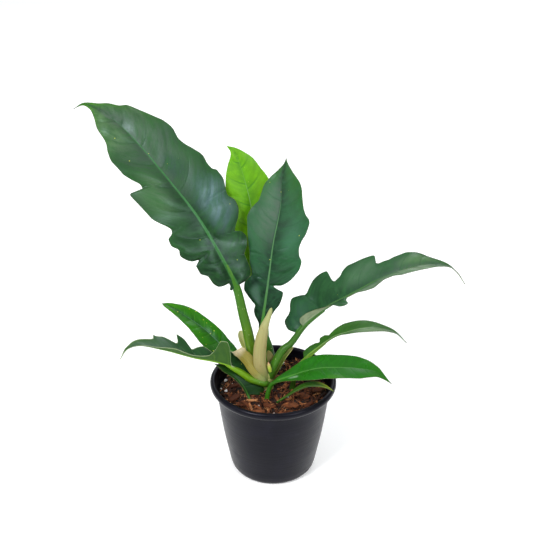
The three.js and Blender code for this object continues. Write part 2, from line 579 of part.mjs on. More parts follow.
/** [radius, bearing, turn, tilt, length, width, height], millimetres and degrees */
const chips = [
  [51, 205, 30, 12, 17, 8, 5], [46, 229, 80, -8, 15, 7, 5], [53, 248, 10, 10, 18, 9, 5],
  [38, 264, 60, 6, 14, 8, 6], [54, 285, 150, -10, 16, 8, 5], [42, 300, 20, 8, 17, 10, 6],
  [54, 320, 100, 12, 15, 7, 5], [40, 335, 50, -6, 14, 8, 5], [53, 355, 130, 8, 16, 8, 5],
  [46, 22, 15, 10, 18, 8, 5], [40, 48, 75, -8, 15, 7, 5], [49, 98, 120, 8, 17, 8, 5],
  [44, 122, 40, 10, 15, 9, 5], [52, 150, 100, -10, 16, 7, 5], [46, 176, 5, 8, 15, 8, 5],
];
chips.forEach(([radius, bearing, turn, tilt, length, width, height], i) => {
  const angle = THREE.MathUtils.degToRad(bearing);
  const geometry = chip(length, width, height);
  geometry.rotateY(THREE.MathUtils.degToRad(tilt));
  geometry.rotateZ(THREE.MathUtils.degToRad(turn));
  const [x, y] = [radius * Math.cos(angle), radius * Math.sin(angle)];
  geometry.translate(x, y, MIX_CROWN - 0.05 * radius + 0.35 * height);
  taken.push({ solid: mixTop, box: mixBox });
  grow(`husk_chip_${String(i + 1).padStart(2, '0')}`, geometry, looks.husk);
  taken.pop();
});

/** [x, y, radius] of each grain */
const grains = [[-57, 14, 2.6], [-56, -7, 2.4], [13, 50, 2.8], [9, 40, 2.2]];
grains.forEach(([x, y, radius], i) => {
  const geometry = new THREE.IcosahedronGeometry(radius, 0);
  geometry.translate(x, y, 108.1 - 0.0004 * (x * x + y * y) + radius);
  place(`perlite_grain_${i + 1}`, geometry, looks.perlite);
});

export default group;
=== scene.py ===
"""A young lobed-leaf philodendron in the nursery pot it was grown in."""
import math

import bpy
import numpy as np
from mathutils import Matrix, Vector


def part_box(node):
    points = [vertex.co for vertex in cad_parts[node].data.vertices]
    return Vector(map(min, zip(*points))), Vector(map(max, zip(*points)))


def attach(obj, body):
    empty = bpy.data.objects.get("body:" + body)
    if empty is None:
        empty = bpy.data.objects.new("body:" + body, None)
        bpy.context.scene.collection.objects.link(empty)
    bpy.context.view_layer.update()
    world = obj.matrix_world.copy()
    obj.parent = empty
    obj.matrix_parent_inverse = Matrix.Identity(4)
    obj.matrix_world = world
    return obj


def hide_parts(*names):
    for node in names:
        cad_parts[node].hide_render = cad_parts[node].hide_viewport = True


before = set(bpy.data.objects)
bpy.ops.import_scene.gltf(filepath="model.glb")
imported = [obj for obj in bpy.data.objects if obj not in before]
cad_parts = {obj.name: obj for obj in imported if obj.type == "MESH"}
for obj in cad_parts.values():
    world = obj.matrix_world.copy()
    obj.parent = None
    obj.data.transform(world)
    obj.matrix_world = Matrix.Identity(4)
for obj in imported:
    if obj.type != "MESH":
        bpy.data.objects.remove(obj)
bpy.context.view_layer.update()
MM = 0.001


# ---- pot ----
# One cup moulded from black polypropylene: a tapered wall, a rolled rim to lift it by, and a
# foot ring round a recessed floor with drainage holes. It comes out of the mould satin-smooth
# and gets its faint scuffs and dust on the growing bench.

def smooth_path(points, count):
    """A centripetal Catmull-Rom curve through the points. Each stretch blends its four nearest
    points by the square roots of their spacing, and the result is resampled by arc length."""
    p = np.asarray(points, float)
    q = np.vstack([2 * p[0] - p[1], p, 2 * p[-1] - p[-2]])
    parts = []
    for i in range(1, len(q) - 2):
        p0, p1, p2, p3 = q[i - 1:i + 3]
        t1 = np.linalg.norm(p1 - p0) ** 0.5
        t2 = t1 + np.linalg.norm(p2 - p1) ** 0.5
        t3 = t2 + np.linalg.norm(p3 - p2) ** 0.5
        t = np.linspace(t1, t2, 60)[:, None]
        a1 = ((t1 - t) * p0 + t * p1) / t1
        a2 = ((t2 - t) * p1 + (t - t1) * p2) / (t2 - t1)
        a3 = ((t3 - t) * p2 + (t - t2) * p3) / (t3 - t2)
        b1 = ((t2 - t) * a1 + t * a2) / t2
        b2 = ((t3 - t) * a2 + (t - t1) * a3) / (t3 - t1)
        parts.append(((t2 - t) * b1 + (t - t1) * b2) / (t2 - t1))
    dense = np.vstack(parts)
    run = np.r_[0, np.cumsum(np.linalg.norm(np.diff(dense, axis=0), axis=1))]
    where = np.linspace(0, run[-1], count)
    return np.stack([np.interp(where, run, dense[:, k]) for k in range(dense.shape[1])], -1)


def strip_faces(rows, around):
    """Quads between the neighbouring points of a stack of rings, as four indices each."""
    i, j = np.meshgrid(np.arange(rows - 1), np.arange(around), indexing="ij")
    a = i * around + j
    b = i * around + (j + 1) % around
    return np.stack([a, b, b + around, a + around], -1).reshape(-1, 4)


def cap_faces(rows, around):
    """Two fans of triangles that close the stack of rings, round the first and the second of
    two hub points that follow its own points."""
    turn = np.arange(around)
    after = (turn + 1) % around
    hub, last = turn * 0 + rows * around, (rows - 1) * around
    return np.vstack([np.stack([hub, after, turn], -1),
                      np.stack([hub + 1, last + turn, last + after], -1)])


def add_piece(name, points, quads, marks=None, tris=()):
    """A smooth-shaded mesh from points in millimetres, its quads and triangles, and its named
    point values, added to the scene and carried by the part's one body."""
    mesh = bpy.data.meshes.new(name)
    quads = np.asarray(quads, int).reshape(-1, 4)
    tris = np.asarray(tris, int).reshape(-1, 3)
    corners = np.concatenate([quads.ravel(), tris.ravel()])
    starts = np.r_[np.arange(len(quads)) * 4, len(quads) * 4 + np.arange(len(tris)) * 3]
    points = np.asarray(points, float).reshape(-1, 3)
    mesh.vertices.add(len(points))
    mesh.vertices.foreach_set("co", (points * MM).astype(np.float32).ravel())
    mesh.loops.add(len(corners))
    mesh.loops.foreach_set("vertex_index", corners.astype(np.int32))
    mesh.polygons.add(len(starts))
    mesh.polygons.foreach_set("loop_start", starts.astype(np.int32))
    mesh.update(calc_edges=True)
    mesh.validate()
    mesh.polygons.foreach_set("use_smooth", np.ones(len(mesh.polygons), bool))
    for mark, values in (marks or {}).items():
        layer = mesh.attributes.new(mark, "FLOAT", "POINT")
        layer.data.foreach_set("value", np.asarray(values, np.float32).ravel())
    piece = bpy.data.objects.new(name, mesh)
    bpy.context.scene.collection.objects.link(piece)
    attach(piece, "root")
    return piece


def round_axis(profile, around):
    """Each (radius, height) of the profile goes round the Z axis: at angle a it is at
    (radius cos a, radius sin a, height)."""
    angle = np.linspace(0, 2 * math.pi, around, endpoint=False)
    return np.stack([profile[:, :1] * np.cos(angle), profile[:, :1] * np.sin(angle),
                     profile[:, 1:] + 0 * angle], -1)


def feed(tree, socket, value):
    """Joins a socket to another node's output, or sets it to a plain value."""
    if isinstance(value, bpy.types.NodeSocket):
        tree.links.new(value, socket)
    else:
        socket.default_value = value


def node(tree, kind, plugs=None, **settings):
    """A shader node. Its settings are given by name, and its plugs are values or other
    nodes' outputs, by socket name or number."""
    made = tree.nodes.new(kind)
    for key, value in settings.items():
        setattr(made, key, value)
    for key, value in (plugs or {}).items():
        feed(tree, made.inputs[key], value)
    return made


def maths(tree, operation, a, b=0.0):
    return node(tree, "ShaderNodeMath", {0: a, 1: b}, operation=operation).outputs[0]


def times(tree, a, b):
    return maths(tree, "MULTIPLY", a, b)


def plus(tree, a, b):
    return maths(tree, "ADD", a, b)


def ease(tree, value, low, high, start=0.0, end=1.0):
    """Start below low, end above high, and a smooth step between them."""
    made = node(tree, "ShaderNodeMapRange", {"Value": value, "From Min": low, "From Max": high,
                                             "To Min": start, "To Max": end},
                interpolation_type="SMOOTHSTEP")
    return made.outputs["Result"]


def colour(red, green, blue):
    """An 8-bit sRGB colour as the linear one that shaders use."""
    share = np.array([red, green, blue]) / 255
    linear = np.where(share > 0.04045, ((share + 0.055) / 1.055) ** 2.4, share / 12.92)
    return (*[float(x) for x in linear], 1.0)


def mix(tree, share, first, second):
    """From the first colour to the second. A colour is a node's output, an 8-bit sRGB triple,
    or a linear one of four numbers."""
    first, second = (colour(*c) if isinstance(c, tuple) and len(c) == 3 else c for c in (first, second))
    made = node(tree, "ShaderNodeMix", {0: share, 6: first, 7: second}, data_type="RGBA")
    return made.outputs[2]


def new_material(name):
    material = bpy.data.materials.new(name)
    material.use_nodes = True
    tree = material.node_tree
    tree.nodes.clear()
    output = node(tree, "ShaderNodeOutputMaterial")
    shader = node(tree, "ShaderNodeBsdfPrincipled")
    tree.links.new(shader.outputs[0], output.inputs[0])
    return material, tree, shader


def plug(tree, shader, **plugs):
    for key, value in plugs.items():
        feed(tree, shader.inputs[key.replace("_", " ")], value)


def group_of(name, ins, outs):
    """An empty shader node group, with its inputs' default values and its outputs."""
    tree = bpy.data.node_groups.new(name, "ShaderNodeTree")
    for socket, value in ins.items():
        kind = "NodeSocketVector" if value is None else "NodeSocketFloat"
        made = tree.interface.new_socket(socket, in_out="INPUT", socket_type=kind)
        if value is not None:
            made.default_value = value
    for socket in outs:
        tree.interface.new_socket(socket, in_out="OUTPUT", socket_type="NodeSocketFloat")
    return tree, node(tree, "NodeGroupInput").outputs, node(tree, "NodeGroupOutput").inputs


def place_in(tree):
    return node(tree, "ShaderNodeTexCoord").outputs["Object"]


def mark_in(tree, name):
    """A value that the mesh holds at each point."""
    return node(tree, "ShaderNodeAttribute", attribute_name=name).outputs["Fac"]


def vector(tree, x, y, z):
    return node(tree, "ShaderNodeCombineXYZ", {0: x, 1: y, 2: z}).outputs[0]


def stretched(tree, place, scale, turn=(0, 0, 0)):
    return node(tree, "ShaderNodeMapping", {"Vector": place, "Rotation": turn, "Scale": scale}).outputs[0]


def bumped(tree, height, strength, distance):
    return node(tree, "ShaderNodeBump", {"Height": height, "Strength": strength,
                                         "Distance": distance}).outputs[0]


def patchy(tree, place, scale, low, high):
    return node(tree, "ShaderNodeGroup", {"Place": place, "Scale": scale, "Low": low, "High": high},
                node_tree=blotches).outputs["Mask"]


def flecked_by(tree, place, scale, share, size):
    return node(tree, "ShaderNodeGroup", {"Place": place, "Scale": scale, "Share": share, "Size": size},
                node_tree=flecks).outputs["Mask"]


# soft blotches between 0 and 1, at so many per metre
noise_ins = {"Place": None, "Scale": 60.0, "Low": 0.4, "High": 0.6}
blotches, gin, gout = group_of("blotches", noise_ins, ["Mask"])
cloud = node(blotches, "ShaderNodeTexNoise", {"Vector": gin["Place"], "Scale": gin["Scale"],
                                              "Detail": 4.0, "Roughness": 0.6})
blotches.links.new(ease(blotches, cloud.outputs["Fac"], gin["Low"], gin["High"]), gout["Mask"])

# round flecks: the share of cells that has one is Share, and its size is a part of the cell
fleck_ins = {"Place": None, "Scale": 200.0, "Share": 0.1, "Size": 0.2}
flecks, gin, gout = group_of("flecks", fleck_ins, ["Mask"])
cells = node(flecks, "ShaderNodeTexVoronoi", {"Vector": gin["Place"], "Scale": gin["Scale"]})
chosen = maths(flecks, "LESS_THAN", node(flecks, "ShaderNodeSeparateColor",
                                         {0: cells.outputs["Color"]}).outputs[0], gin["Share"])
near = ease(flecks, cells.outputs["Distance"], gin["Size"], times(flecks, gin["Size"], 0.4))
flecks.links.new(times(flecks, chosen, near), gout["Mask"])

RIM_RADIUS, POT_HEIGHT, MOUTH_RADIUS, WALL = 75, 122, 68.6, 1.8
foot = [(22, 0), (23.2, 0.4), (24.3, 2.4), (25.6, 3), (35.6, 3), (36.9, 2.4), (38, 0.4), (39.2, 0),
        (43, 0), (46, 0.6), (48.7, 2.1), (50.6, 5), (52.6, 12)]
side = [(52.6, 12), (59.6, 50), (64.9, 88), (66.5, 103), (66.9, 106)]
roll = [(66.9, 106), (67.6, 109.4), (69.6, 111.7), (72.4, 113.1), (74.2, 115), (RIM_RADIUS, 117.5),
        (74.5, 120), (73, 121.6), (71.3, POT_HEIGHT), (69.8, 121.3), (68.9, 119.6), (MOUTH_RADIUS, 117.4),
        (68, 114), (66.6, 110.6), (65.2, 106)]
inside = [(65.2, 106), (64.7, 102), (64.9 - WALL, 88), (59.6 - WALL, 50), (52.6 - WALL, 13),
          (49.9, 8), (47.6, 5.5), (45.4, 4.8)]
profile = np.vstack([[(0, 0)], [(10, 0)], np.maximum(smooth_path(foot, 44), 0), smooth_path(side, 30)[1:],
                     smooth_path(roll, 60)[1:], smooth_path(inside, 34)[1:],
                     [(34, 4.8), (23.8, 4.8), (20.8, WALL), (0, WALL)]])
walls, pot_around = profile[1:-1], 160
pot = add_piece("nursery_pot",
                np.vstack([round_axis(walls, pot_around).reshape(-1, 3), (0, 0, 0), (0, 0, WALL)]),
                strip_faces(len(walls), pot_around), tris=cap_faces(len(walls), pot_around))
HOLES, HOLE_RING, HOLE_RADIUS = 8, 31 * MM, 3.5 * MM
drill = []
for k in range(HOLES):
    bearing = 2 * math.pi * (k + 0.5) / HOLES
    bpy.ops.mesh.primitive_cylinder_add(
        vertices=24, radius=HOLE_RADIUS, depth=8 * MM,
        location=(HOLE_RING * math.cos(bearing), HOLE_RING * math.sin(bearing), 4 * MM))
    drill.append(bpy.context.object)
    cut = pot.modifiers.new("drain", "BOOLEAN")
    cut.operation, cut.object, cut.solver = "DIFFERENCE", drill[-1], "EXACT"
bpy.context.view_layer.update()
bored = bpy.data.meshes.new_from_object(pot.evaluated_get(bpy.context.evaluated_depsgraph_get()))
pot.modifiers.clear()
pot.data = bored
for cutter in drill:
    bpy.data.objects.remove(cutter)

pot_black, tree, shader = new_material("black_polypropylene")
place = place_in(tree)
dust = patchy(tree, place, 45.0, 0.45, 0.75)
bands = stretched(tree, place, (14, 14, 420))
drawn = patchy(tree, bands, 1.0, 0.35, 0.7)
grain = node(tree, "ShaderNodeTexNoise", {"Vector": place, "Scale": 2600.0, "Detail": 2.0})
scratch_lie = stretched(tree, place, (60, 60, 900), (0.3, 0.2, 0.5))
scratch = patchy(tree, scratch_lie, 1.0, 0.68, 0.74)
worn = mix(tree, times(tree, dust, 0.35), (8, 7, 13), (23, 22, 35))
worn = mix(tree, times(tree, scratch, 0.25), worn, (70, 72, 80))
rough = plus(tree, 0.3, times(tree, dust, 0.1))
rough = plus(tree, rough, times(tree, drawn, 0.05))
relief = plus(tree, times(tree, grain.outputs["Fac"], 0.25), drawn)
bump = bumped(tree, relief, 0.12, 0.0004)
plug(tree, shader, Base_Color=worn, Roughness=rough, Normal=bump, Specular_IOR_Level=0.16,
     Specular_Tint=(0.8, 0.82, 1.0, 1))
pot.data.materials.clear()
pot.data.materials.append(pot_black)
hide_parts("pot")


# ---- potting mix ----
# Damp coir and composted bark, filled to a finger below the rim. It is moulded by the pot on its
# sides, and uneven on top, where loose pieces of husk lie.

def waves(x, y, length, seed, count=9):
    """Smooth random bumps between about -1 and 1: the mean of sines of this wavelength that run
    in random directions with random phases."""
    draw = np.random.default_rng(seed)
    bearing = draw.uniform(0, 2 * math.pi, count)
    phase = draw.uniform(0, 2 * math.pi, count)
    rate = 2 * math.pi / (length * draw.uniform(0.7, 1.4, count))
    total = 0
    for b, f, r in zip(bearing, phase, rate):
        total = total + np.sin(r * (x * math.cos(b) + y * math.sin(b)) + f)
    return total / math.sqrt(count)


def mix_top(x, y):
    """Height of the mix: a low dome that falls from 108.4 in the middle to 104.6 at the wall,
    plus a bell-shaped heap of loose husk against the back wall, 8 mm high, and bumps 14, 6 and
    3 mm long, as high as 0.8, 0.6 and 0.35 mm."""
    dome = 108.4 - 3.8 * np.clip(np.hypot(x, y) / 64, 0, 1) ** 2
    dome = dome + 8 * np.exp(-((x - 35) ** 2 + (y - 50) ** 2) / (2 * 10.5 ** 2))
    return dome + 0.8 * waves(x, y, 14, 1) + 0.6 * waves(x, y, 6, 2) + 0.35 * waves(x, y, 3, 3)


AROUND = 220
MIX_RADIUS = 64.3
reach = np.linspace(0.6, MIX_RADIUS, 92)
angle = np.linspace(0, 2 * math.pi, AROUND, endpoint=False)
ring_r, ring_a = np.meshgrid(reach, angle, indexing="ij")
x, y = ring_r * np.cos(ring_a), ring_r * np.sin(ring_a)
crust = np.stack([x, y, mix_top(x, y)], -1)
flank = smooth_path([(64.2, 102), (62.7, 88), (57.5, 50), (50.5, 14), (47.5, 6), (42, 5.1), (1, 5.1)], 40)
grid = np.concatenate([crust, round_axis(flank, AROUND)])
hubs = [[0, 0, float(mix_top(0, 0))], [0, 0, flank[-1, 1]]]
mix_bed = add_piece("potting_mix_bed", np.vstack([grid.reshape(-1, 3), hubs]),
                    strip_faces(len(grid), AROUND)[:, ::-1], tris=cap_faces(len(grid), AROUND)[:, ::-1])

coir, tree, shader = new_material("damp_coir")
place = place_in(tree)
crumbs = node(tree, "ShaderNodeTexVoronoi", {"Vector": place, "Scale": 520.0})
shade = patchy(tree, place, 160.0, 0.35, 0.65)
strands_lie = stretched(tree, place, (900, 130, 300), (0, 0, 0.7))
strands = patchy(tree, strands_lie, 1.0, 0.55, 0.7)
tint = mix(tree, shade, (9, 6, 5), (40, 22, 14))
# painted shade: away from each crumb's centre the coir darkens towards near-black, as the shade in the gaps
# between crumbs
tint = mix(tree, ease(tree, crumbs.outputs["Distance"], 0.1, 0.6, 0.0, 0.7), tint, (12, 8, 6))
tint = mix(tree, times(tree, strands, 0.6), tint, (120, 76, 50))
lumps = plus(tree, crumbs.outputs["Distance"], times(tree, strands, 0.4))
bump = bumped(tree, lumps, 0.9, 0.0012)
plug(tree, shader, Base_Color=tint, Roughness=0.88, Normal=bump)
mix_bed.data.materials.append(coir)
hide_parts("potting_mix")


# ---- husk chips ----
# Split pieces of coconut husk and bark, 3 to 18 mm long, scattered as the pot was filled. The
# fifteen large ones lie free on top, the small ones are half sunk, and loose fibres lie over them.

def splinters(centres, headings, tilts, lengths, widths, heights, seed):
    """Many splinters at once, five rings of six points each. Along its length a splinter is
    s in -0.5 to 0.5, its section is an ellipse of width and height that narrows to the ends as
    1 - (1.5 |s|)^3, and a random factor of 0.72 to 1.2 roughens the radius at every point. It
    bows sideways as s^2, and its ends are cut askew."""
    draw = np.random.default_rng(seed)
    count = len(lengths)
    s = np.linspace(-0.5, 0.5, 5)
    a = np.linspace(0, 2 * math.pi, 6, endpoint=False) + 0.4
    taper = (1 - (1.5 * np.abs(s)) ** 3)[None, :, None]
    rough = draw.uniform(0.72, 1.2, (count, 5, 6))
    skew = draw.uniform(-0.5, 0.5, (count, 1, 6)) * (np.abs(s) > 0.4)[None, :, None]
    along = (s[None, :, None] + 0.16 * skew) * lengths[:, None, None]
    bow = draw.uniform(-0.1, 0.1, (count, 1, 1)) * lengths[:, None, None] * (4 * s[None, :, None] ** 2)
    across = 0.5 * widths[:, None, None] * taper * rough * np.cos(a) + bow
    up = 0.5 * heights[:, None, None] * taper * rough * np.sin(a)
    ch, sh = np.cos(headings)[:, None, None], np.sin(headings)[:, None, None]
    ct, st = np.cos(tilts)[:, None, None], np.sin(tilts)[:, None, None]
    forward = along * ct - up * st
    rise = along * st + up * ct
    points = np.stack([forward * ch - across * sh, forward * sh + across * ch, rise + 0 * forward], -1)
    points = points + centres[:, None, None, :]
    quads = strip_faces(5, 6)[:, ::-1]
    ends = [[0, 1, 2], [0, 2, 3], [0, 3, 4], [0, 4, 5],
            [24, 26, 25], [24, 27, 26], [24, 28, 27], [24, 29, 28]]
    step = (np.arange(count) * 30)[:, None, None]
    tone = np.repeat(draw.uniform(0, 1, count), 30)
    return points.reshape(-1, 3), (quads[None] + step).reshape(-1, 4), \
        (np.asarray(ends)[None] + step).reshape(-1, 3), tone


husk, tree, shader = new_material("coconut_husk")
place = place_in(tree)
tone = mark_in(tree, "tone")
ramp = node(tree, "ShaderNodeValToRGB", {0: tone})
ramp.color_ramp.elements[0].color = colour(14, 8, 5)
ramp.color_ramp.elements[1].color = colour(210, 148, 98)
for stop, shade in ((0.2, colour(30, 15, 9)), (0.45, colour(64, 32, 19)), (0.7, colour(110, 60, 34)),
                    (0.9, colour(168, 104, 62))):
    ramp.color_ramp.elements.new(stop).color = shade
fibre_lie = stretched(tree, place, (260, 1700, 900), (0, 0, 0.9))
fibre = patchy(tree, fibre_lie, 1.0, 0.4, 0.62)
stain = patchy(tree, place, 240.0, 0.4, 0.7)
tint = mix(tree, times(tree, fibre, 0.45), ramp.outputs[0], (74, 38, 22))
tint = mix(tree, times(tree, stain, 0.5), tint, (44, 25, 17))
bump = bumped(tree, fibre, 0.7, 0.0005)
plug(tree, shader, Base_Color=tint, Roughness=ease(tree, stain, 0.0, 1.0, 0.85, 0.6),
     Normal=bump, Specular_IOR_Level=0.2)

for k in range(1, 16):
    low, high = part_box(f"husk_chip_{k:02d}")
    middle, span = (low + high) / 2 / MM, (high - low) / MM
    longest = max(span.x, span.y)
    heading = math.atan2(span.y, span.x) * (1 if k % 2 else -1) * 0.7
    draw = np.random.default_rng(100 + k)
    points, quads, ends, tone_values = splinters(
        np.array([[middle.x, middle.y, middle.z - 0.3]]), np.array([heading]),
        draw.uniform(-0.15, 0.15, 1), np.array([longest * 0.98]), np.array([min(span.x, span.y) * 0.8]),
        np.array([span.z * 0.8]), 200 + k)
    big = add_piece(f"husk_piece_{k:02d}", points, quads, {"tone": tone_values * 0.5 + 0.4}, ends)
    facets = big.modifiers.new("chipped", "BEVEL")
    facets.width, facets.segments = 0.3 * MM, 2
    big.data.materials.append(husk)
    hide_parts(f"husk_chip_{k:02d}")


CROWN = (-8, -1)
CROWN_CLEARANCE, LITTER_RADIUS = 9.0, 62.5


def scatter(count, seed):
    """Points spread evenly over the mix, off the stem, with the mix's height there."""
    draw = np.random.default_rng(seed)
    radius = np.sqrt(draw.uniform(0, LITTER_RADIUS ** 2, count * 2))
    bearing = draw.uniform(0, 2 * math.pi, count * 2)
    x, y = radius * np.cos(bearing), radius * np.sin(bearing)
    clear = np.hypot(x - CROWN[0], y - CROWN[1]) > CROWN_CLEARANCE
    x, y = x[clear][:count], y[clear][:count]
    return np.stack([x, y, mix_top(x, y)], -1), draw


for label, count, darkest, sizes, seed in (("coarse", 190, 0.0, (8, 17, 2, 5, 1.2, 2.6), 11),
                                          ("medium", 520, 0.0, (6, 13, 0.9, 2.4, 0.7, 1.5), 12),
                                          ("fresh", 110, 0.7, (8, 17, 0.8, 2.2, 0.5, 1.1), 14),
                                          ("fine", 760, 0.0, (3, 9, 0.4, 1.1, 0.3, 0.8), 13)):
    centres, draw = scatter(count, seed)
    n = len(centres)
    spans = [draw.uniform(sizes[2 * k], sizes[2 * k + 1], n) for k in range(3)]
    tilts = draw.normal(0, 0.42, n)
    centres[:, 2] += 0.25 * spans[2] + 0.12 * spans[0] * np.abs(np.sin(tilts)) + draw.uniform(0, 0.9, n)
    room = MIX_RADIUS - np.hypot(centres[:, 0], centres[:, 1])
    spans[0] = np.minimum(spans[0], np.maximum(2 * room, 2.5))
    points, quads, ends, tone_values = splinters(centres, draw.uniform(0, math.pi, n), tilts, *spans,
                                                 seed + 50)
    litter = add_piece(f"husk_litter_{label}", points, quads,
                       {"tone": darkest + (1 - darkest) * tone_values}, ends)
    litter.data.polygons.foreach_set("use_smooth", np.zeros(len(litter.data.polygons), bool))
    litter.data.materials.append(husk)

# loose coir fibres: thin three-sided threads of seven rings, bent sideways and sagging at the ends
centres, draw = scatter(170, 21)
n = len(centres)
s = np.linspace(-0.5, 0.5, 7)[None, :]
length, heading = draw.uniform(8, 22, n), draw.uniform(0, 2 * math.pi, n)
bend = draw.uniform(-0.5, 0.5, n)
bow = bend[:, None] * length[:, None] * (s ** 2)
spine = np.stack([length[:, None] * s * np.cos(heading)[:, None] - bow * np.sin(heading)[:, None],
                  length[:, None] * s * np.sin(heading)[:, None] + bow * np.cos(heading)[:, None],
                  draw.uniform(-1.5, 1.5, n)[:, None] * s + 1.9 - 3 * s ** 2], -1) + centres[:, None, :]
inside = np.hypot(spine[..., 0], spine[..., 1]).max(1) < 63.5
spine = spine[inside]
a = np.array([0.3, 2.4, 4.5])
thick = (0.24 * (1 - 1.4 * np.abs(s)))[..., None]
ring = np.stack([np.cos(a) * thick * np.sin(heading[inside])[:, None, None],
                 -np.cos(a) * thick * np.cos(heading[inside])[:, None, None],
                 np.sin(a) * thick + 0 * heading[inside][:, None, None]], -1)
points = (spine[:, :, None, :] + ring).reshape(-1, 3)
step = (np.arange(len(spine)) * 21)[:, None, None]
quads = (strip_faces(7, 3)[None] + step).reshape(-1, 4)
ends = (np.array([[0, 2, 1], [18, 19, 20]])[None] + step).reshape(-1, 3)
tone_values = np.repeat(draw.uniform(0.5, 1, len(spine)), 21)
fibres = add_piece("coir_fibres", points, quads, {"tone": tone_values}, ends)
fibres.data.materials.append(husk)


# ---- perlite ----
# White grains of foamed volcanic glass that keep the mix airy: four large ones on top, and
# crumbs of it between the chips.

def pebbles(centres, radii, seed, rings, around):
    """Lumpy balls: points at polar angle p and bearing b, on a radius roughened by a random
    factor of 0.6 to 1.2, a fifth lower than wide, closed at the poles."""
    draw = np.random.default_rng(seed)
    p = np.linspace(0, math.pi, rings + 2)[1:-1]
    b = np.linspace(0, 2 * math.pi, around, endpoint=False)
    pp, bb = np.meshgrid(p, b, indexing="ij")
    ball = np.stack([np.sin(pp) * np.cos(bb), np.sin(pp) * np.sin(bb), -np.cos(pp)], -1)
    ball = np.vstack([ball.reshape(-1, 3), [[0, 0, -1], [0, 0, 1]]])
    size = radii[:, None, None] * draw.uniform(0.6, 1.2, (len(radii), len(ball), 1))
    points = centres[:, None, :] + ball[None] * size * [1, 1, 0.8]
    step = (np.arange(len(radii)) * len(ball))[:, None, None]
    return points.reshape(-1, 3), (strip_faces(rings, around)[None] + step).reshape(-1, 4), \
        (cap_faces(rings, around)[None] + step).reshape(-1, 3)


white, tree, shader = new_material("perlite_foam")
place = place_in(tree)
pits = node(tree, "ShaderNodeTexVoronoi", {"Vector": place, "Scale": 1900.0})
soiled = patchy(tree, place, 500.0, 0.5, 0.75)
tint = mix(tree, times(tree, soiled, 0.8), (206, 205, 206), (122, 104, 88))
bump = bumped(tree, pits.outputs["Distance"], 0.6, 0.0004)
plug(tree, shader, Base_Color=tint, Roughness=0.9, Normal=bump)
for k in range(1, 5):
    low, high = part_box(f"perlite_grain_{k}")
    middle = np.array((low + high) / 2 / MM)[None]
    middle[0, 2] -= 0.9
    points, quads, caps = pebbles(middle, np.array([(high - low).x / MM * 0.46]), 300 + k, 8, 11)
    grain_piece = add_piece(f"perlite_piece_{k}", points, quads, tris=caps)
    grain_piece.data.materials.append(white)
    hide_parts(f"perlite_grain_{k}")
centres, draw = scatter(26, 31)
centres[:, 2] += draw.uniform(0.2, 1.5, len(centres))
points, quads, caps = pebbles(centres, draw.uniform(0.4, 1.1, len(centres)), 32, 4, 6)
crumb = add_piece("perlite_crumbs", points, quads, tris=caps)
crumb.data.materials.append(white)


# ---- roots ----
# The root stock and the seven main roots that hold the plant in the mix. They stay out of sight,
# and keep the CAD solid's shape under a corky skin.

corky, tree, shader = new_material("root_skin")
place = place_in(tree)
patch = patchy(tree, place, 300.0, 0.35, 0.7)
tint = mix(tree, patch, (186, 162, 126), (120, 88, 58))
bump = bumped(tree, patch, 0.5, 0.0006)
plug(tree, shader, Base_Color=tint, Roughness=0.85, Normal=bump)
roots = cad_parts["roots"]
roots.data.materials.clear()
roots.data.materials.append(corky)


# ---- stem and leaf stalks ----
# The crown is a short green stem, ringed by the scars of fallen leaves. Each leaf stands on its
# own fleshy stalk, which grows out of the crown and runs on under the blade as its rib.

def read(pairs, place):
    """A smooth monotone curve through (place, value) pairs (Fritsch-Carlson cubic)."""
    xs = np.array([p for p, _ in pairs], float)
    ys = np.array([v for _, v in pairs], float)
    place = np.clip(place, xs[0], xs[-1])
    h, d = np.diff(xs), np.diff(ys) / np.diff(xs)
    if len(xs) == 2:
        return ys[0] + d[0] * (place - xs[0])
    slope = np.r_[d[0], np.zeros(len(xs) - 2), d[-1]]
    same = d[:-1] * d[1:] > 0
    w1, w2 = 2 * h[1:] + h[:-1], h[1:] + 2 * h[:-1]
    safe_a, safe_b = np.where(same, d[:-1], 1), np.where(same, d[1:], 1)
    slope[1:-1] = np.where(same, (w1 + w2) / (w1 / safe_a + w2 / safe_b), 0)
    k = np.clip(np.searchsorted(xs, place, side="right") - 1, 0, len(h) - 1)
    t = (place - xs[k]) / h[k]
    return (ys[k] * (1 + 2 * t) * (1 - t) ** 2 + h[k] * slope[k] * t * (1 - t) ** 2
            + ys[k + 1] * t * t * (3 - 2 * t) + h[k] * slope[k + 1] * t * t * (t - 1))


def unit(v):
    return v / np.maximum(np.linalg.norm(v, axis=-1, keepdims=True), 1e-9)


def fleshy_rod(name, path, radii, groove=0.0, facing=(0, 0, 1), rows=70, around=28, ridges=0.012):
    """A round rod along a path. At place s and angle a its radius is radii(s), less a groove of
    that depth where it faces `facing`, times 1 + ridges sin(9 a) for faint ribs. Both ends
    close in a dome."""
    centre = smooth_path(path, rows)
    along = unit(np.gradient(centre, axis=0))
    side = unit(np.cross(np.asarray(facing, float), along))
    up = np.cross(along, side)
    s = np.linspace(0, 1, rows)
    a = np.linspace(0, 2 * math.pi, around, endpoint=False)
    radius = read(radii, s)[:, None] * (1 + ridges * np.sin(9 * a + 2 * s[:, None]))
    radius = radius * (1 - groove * np.exp(-((a - math.pi / 2) / 0.5) ** 2))
    radius[0] *= 0.7
    radius[-1] *= 0.7
    ring = (centre[:, None] + side[:, None] * (radius * np.cos(a))[..., None]
            + up[:, None] * (radius * np.sin(a))[..., None])
    start = centre[0] - along[0] * 0.3 * radius[0].mean()
    end = centre[-1] + along[-1] * 0.3 * radius[-1].mean()
    points = np.vstack([ring.reshape(-1, 3), start, end])
    marks = {"along": np.r_[np.repeat(s, around), 0, 1], "round": np.r_[np.tile(a, rows), 0, 0]}
    return add_piece(name, points, strip_faces(rows, around), marks, cap_faces(rows, around))


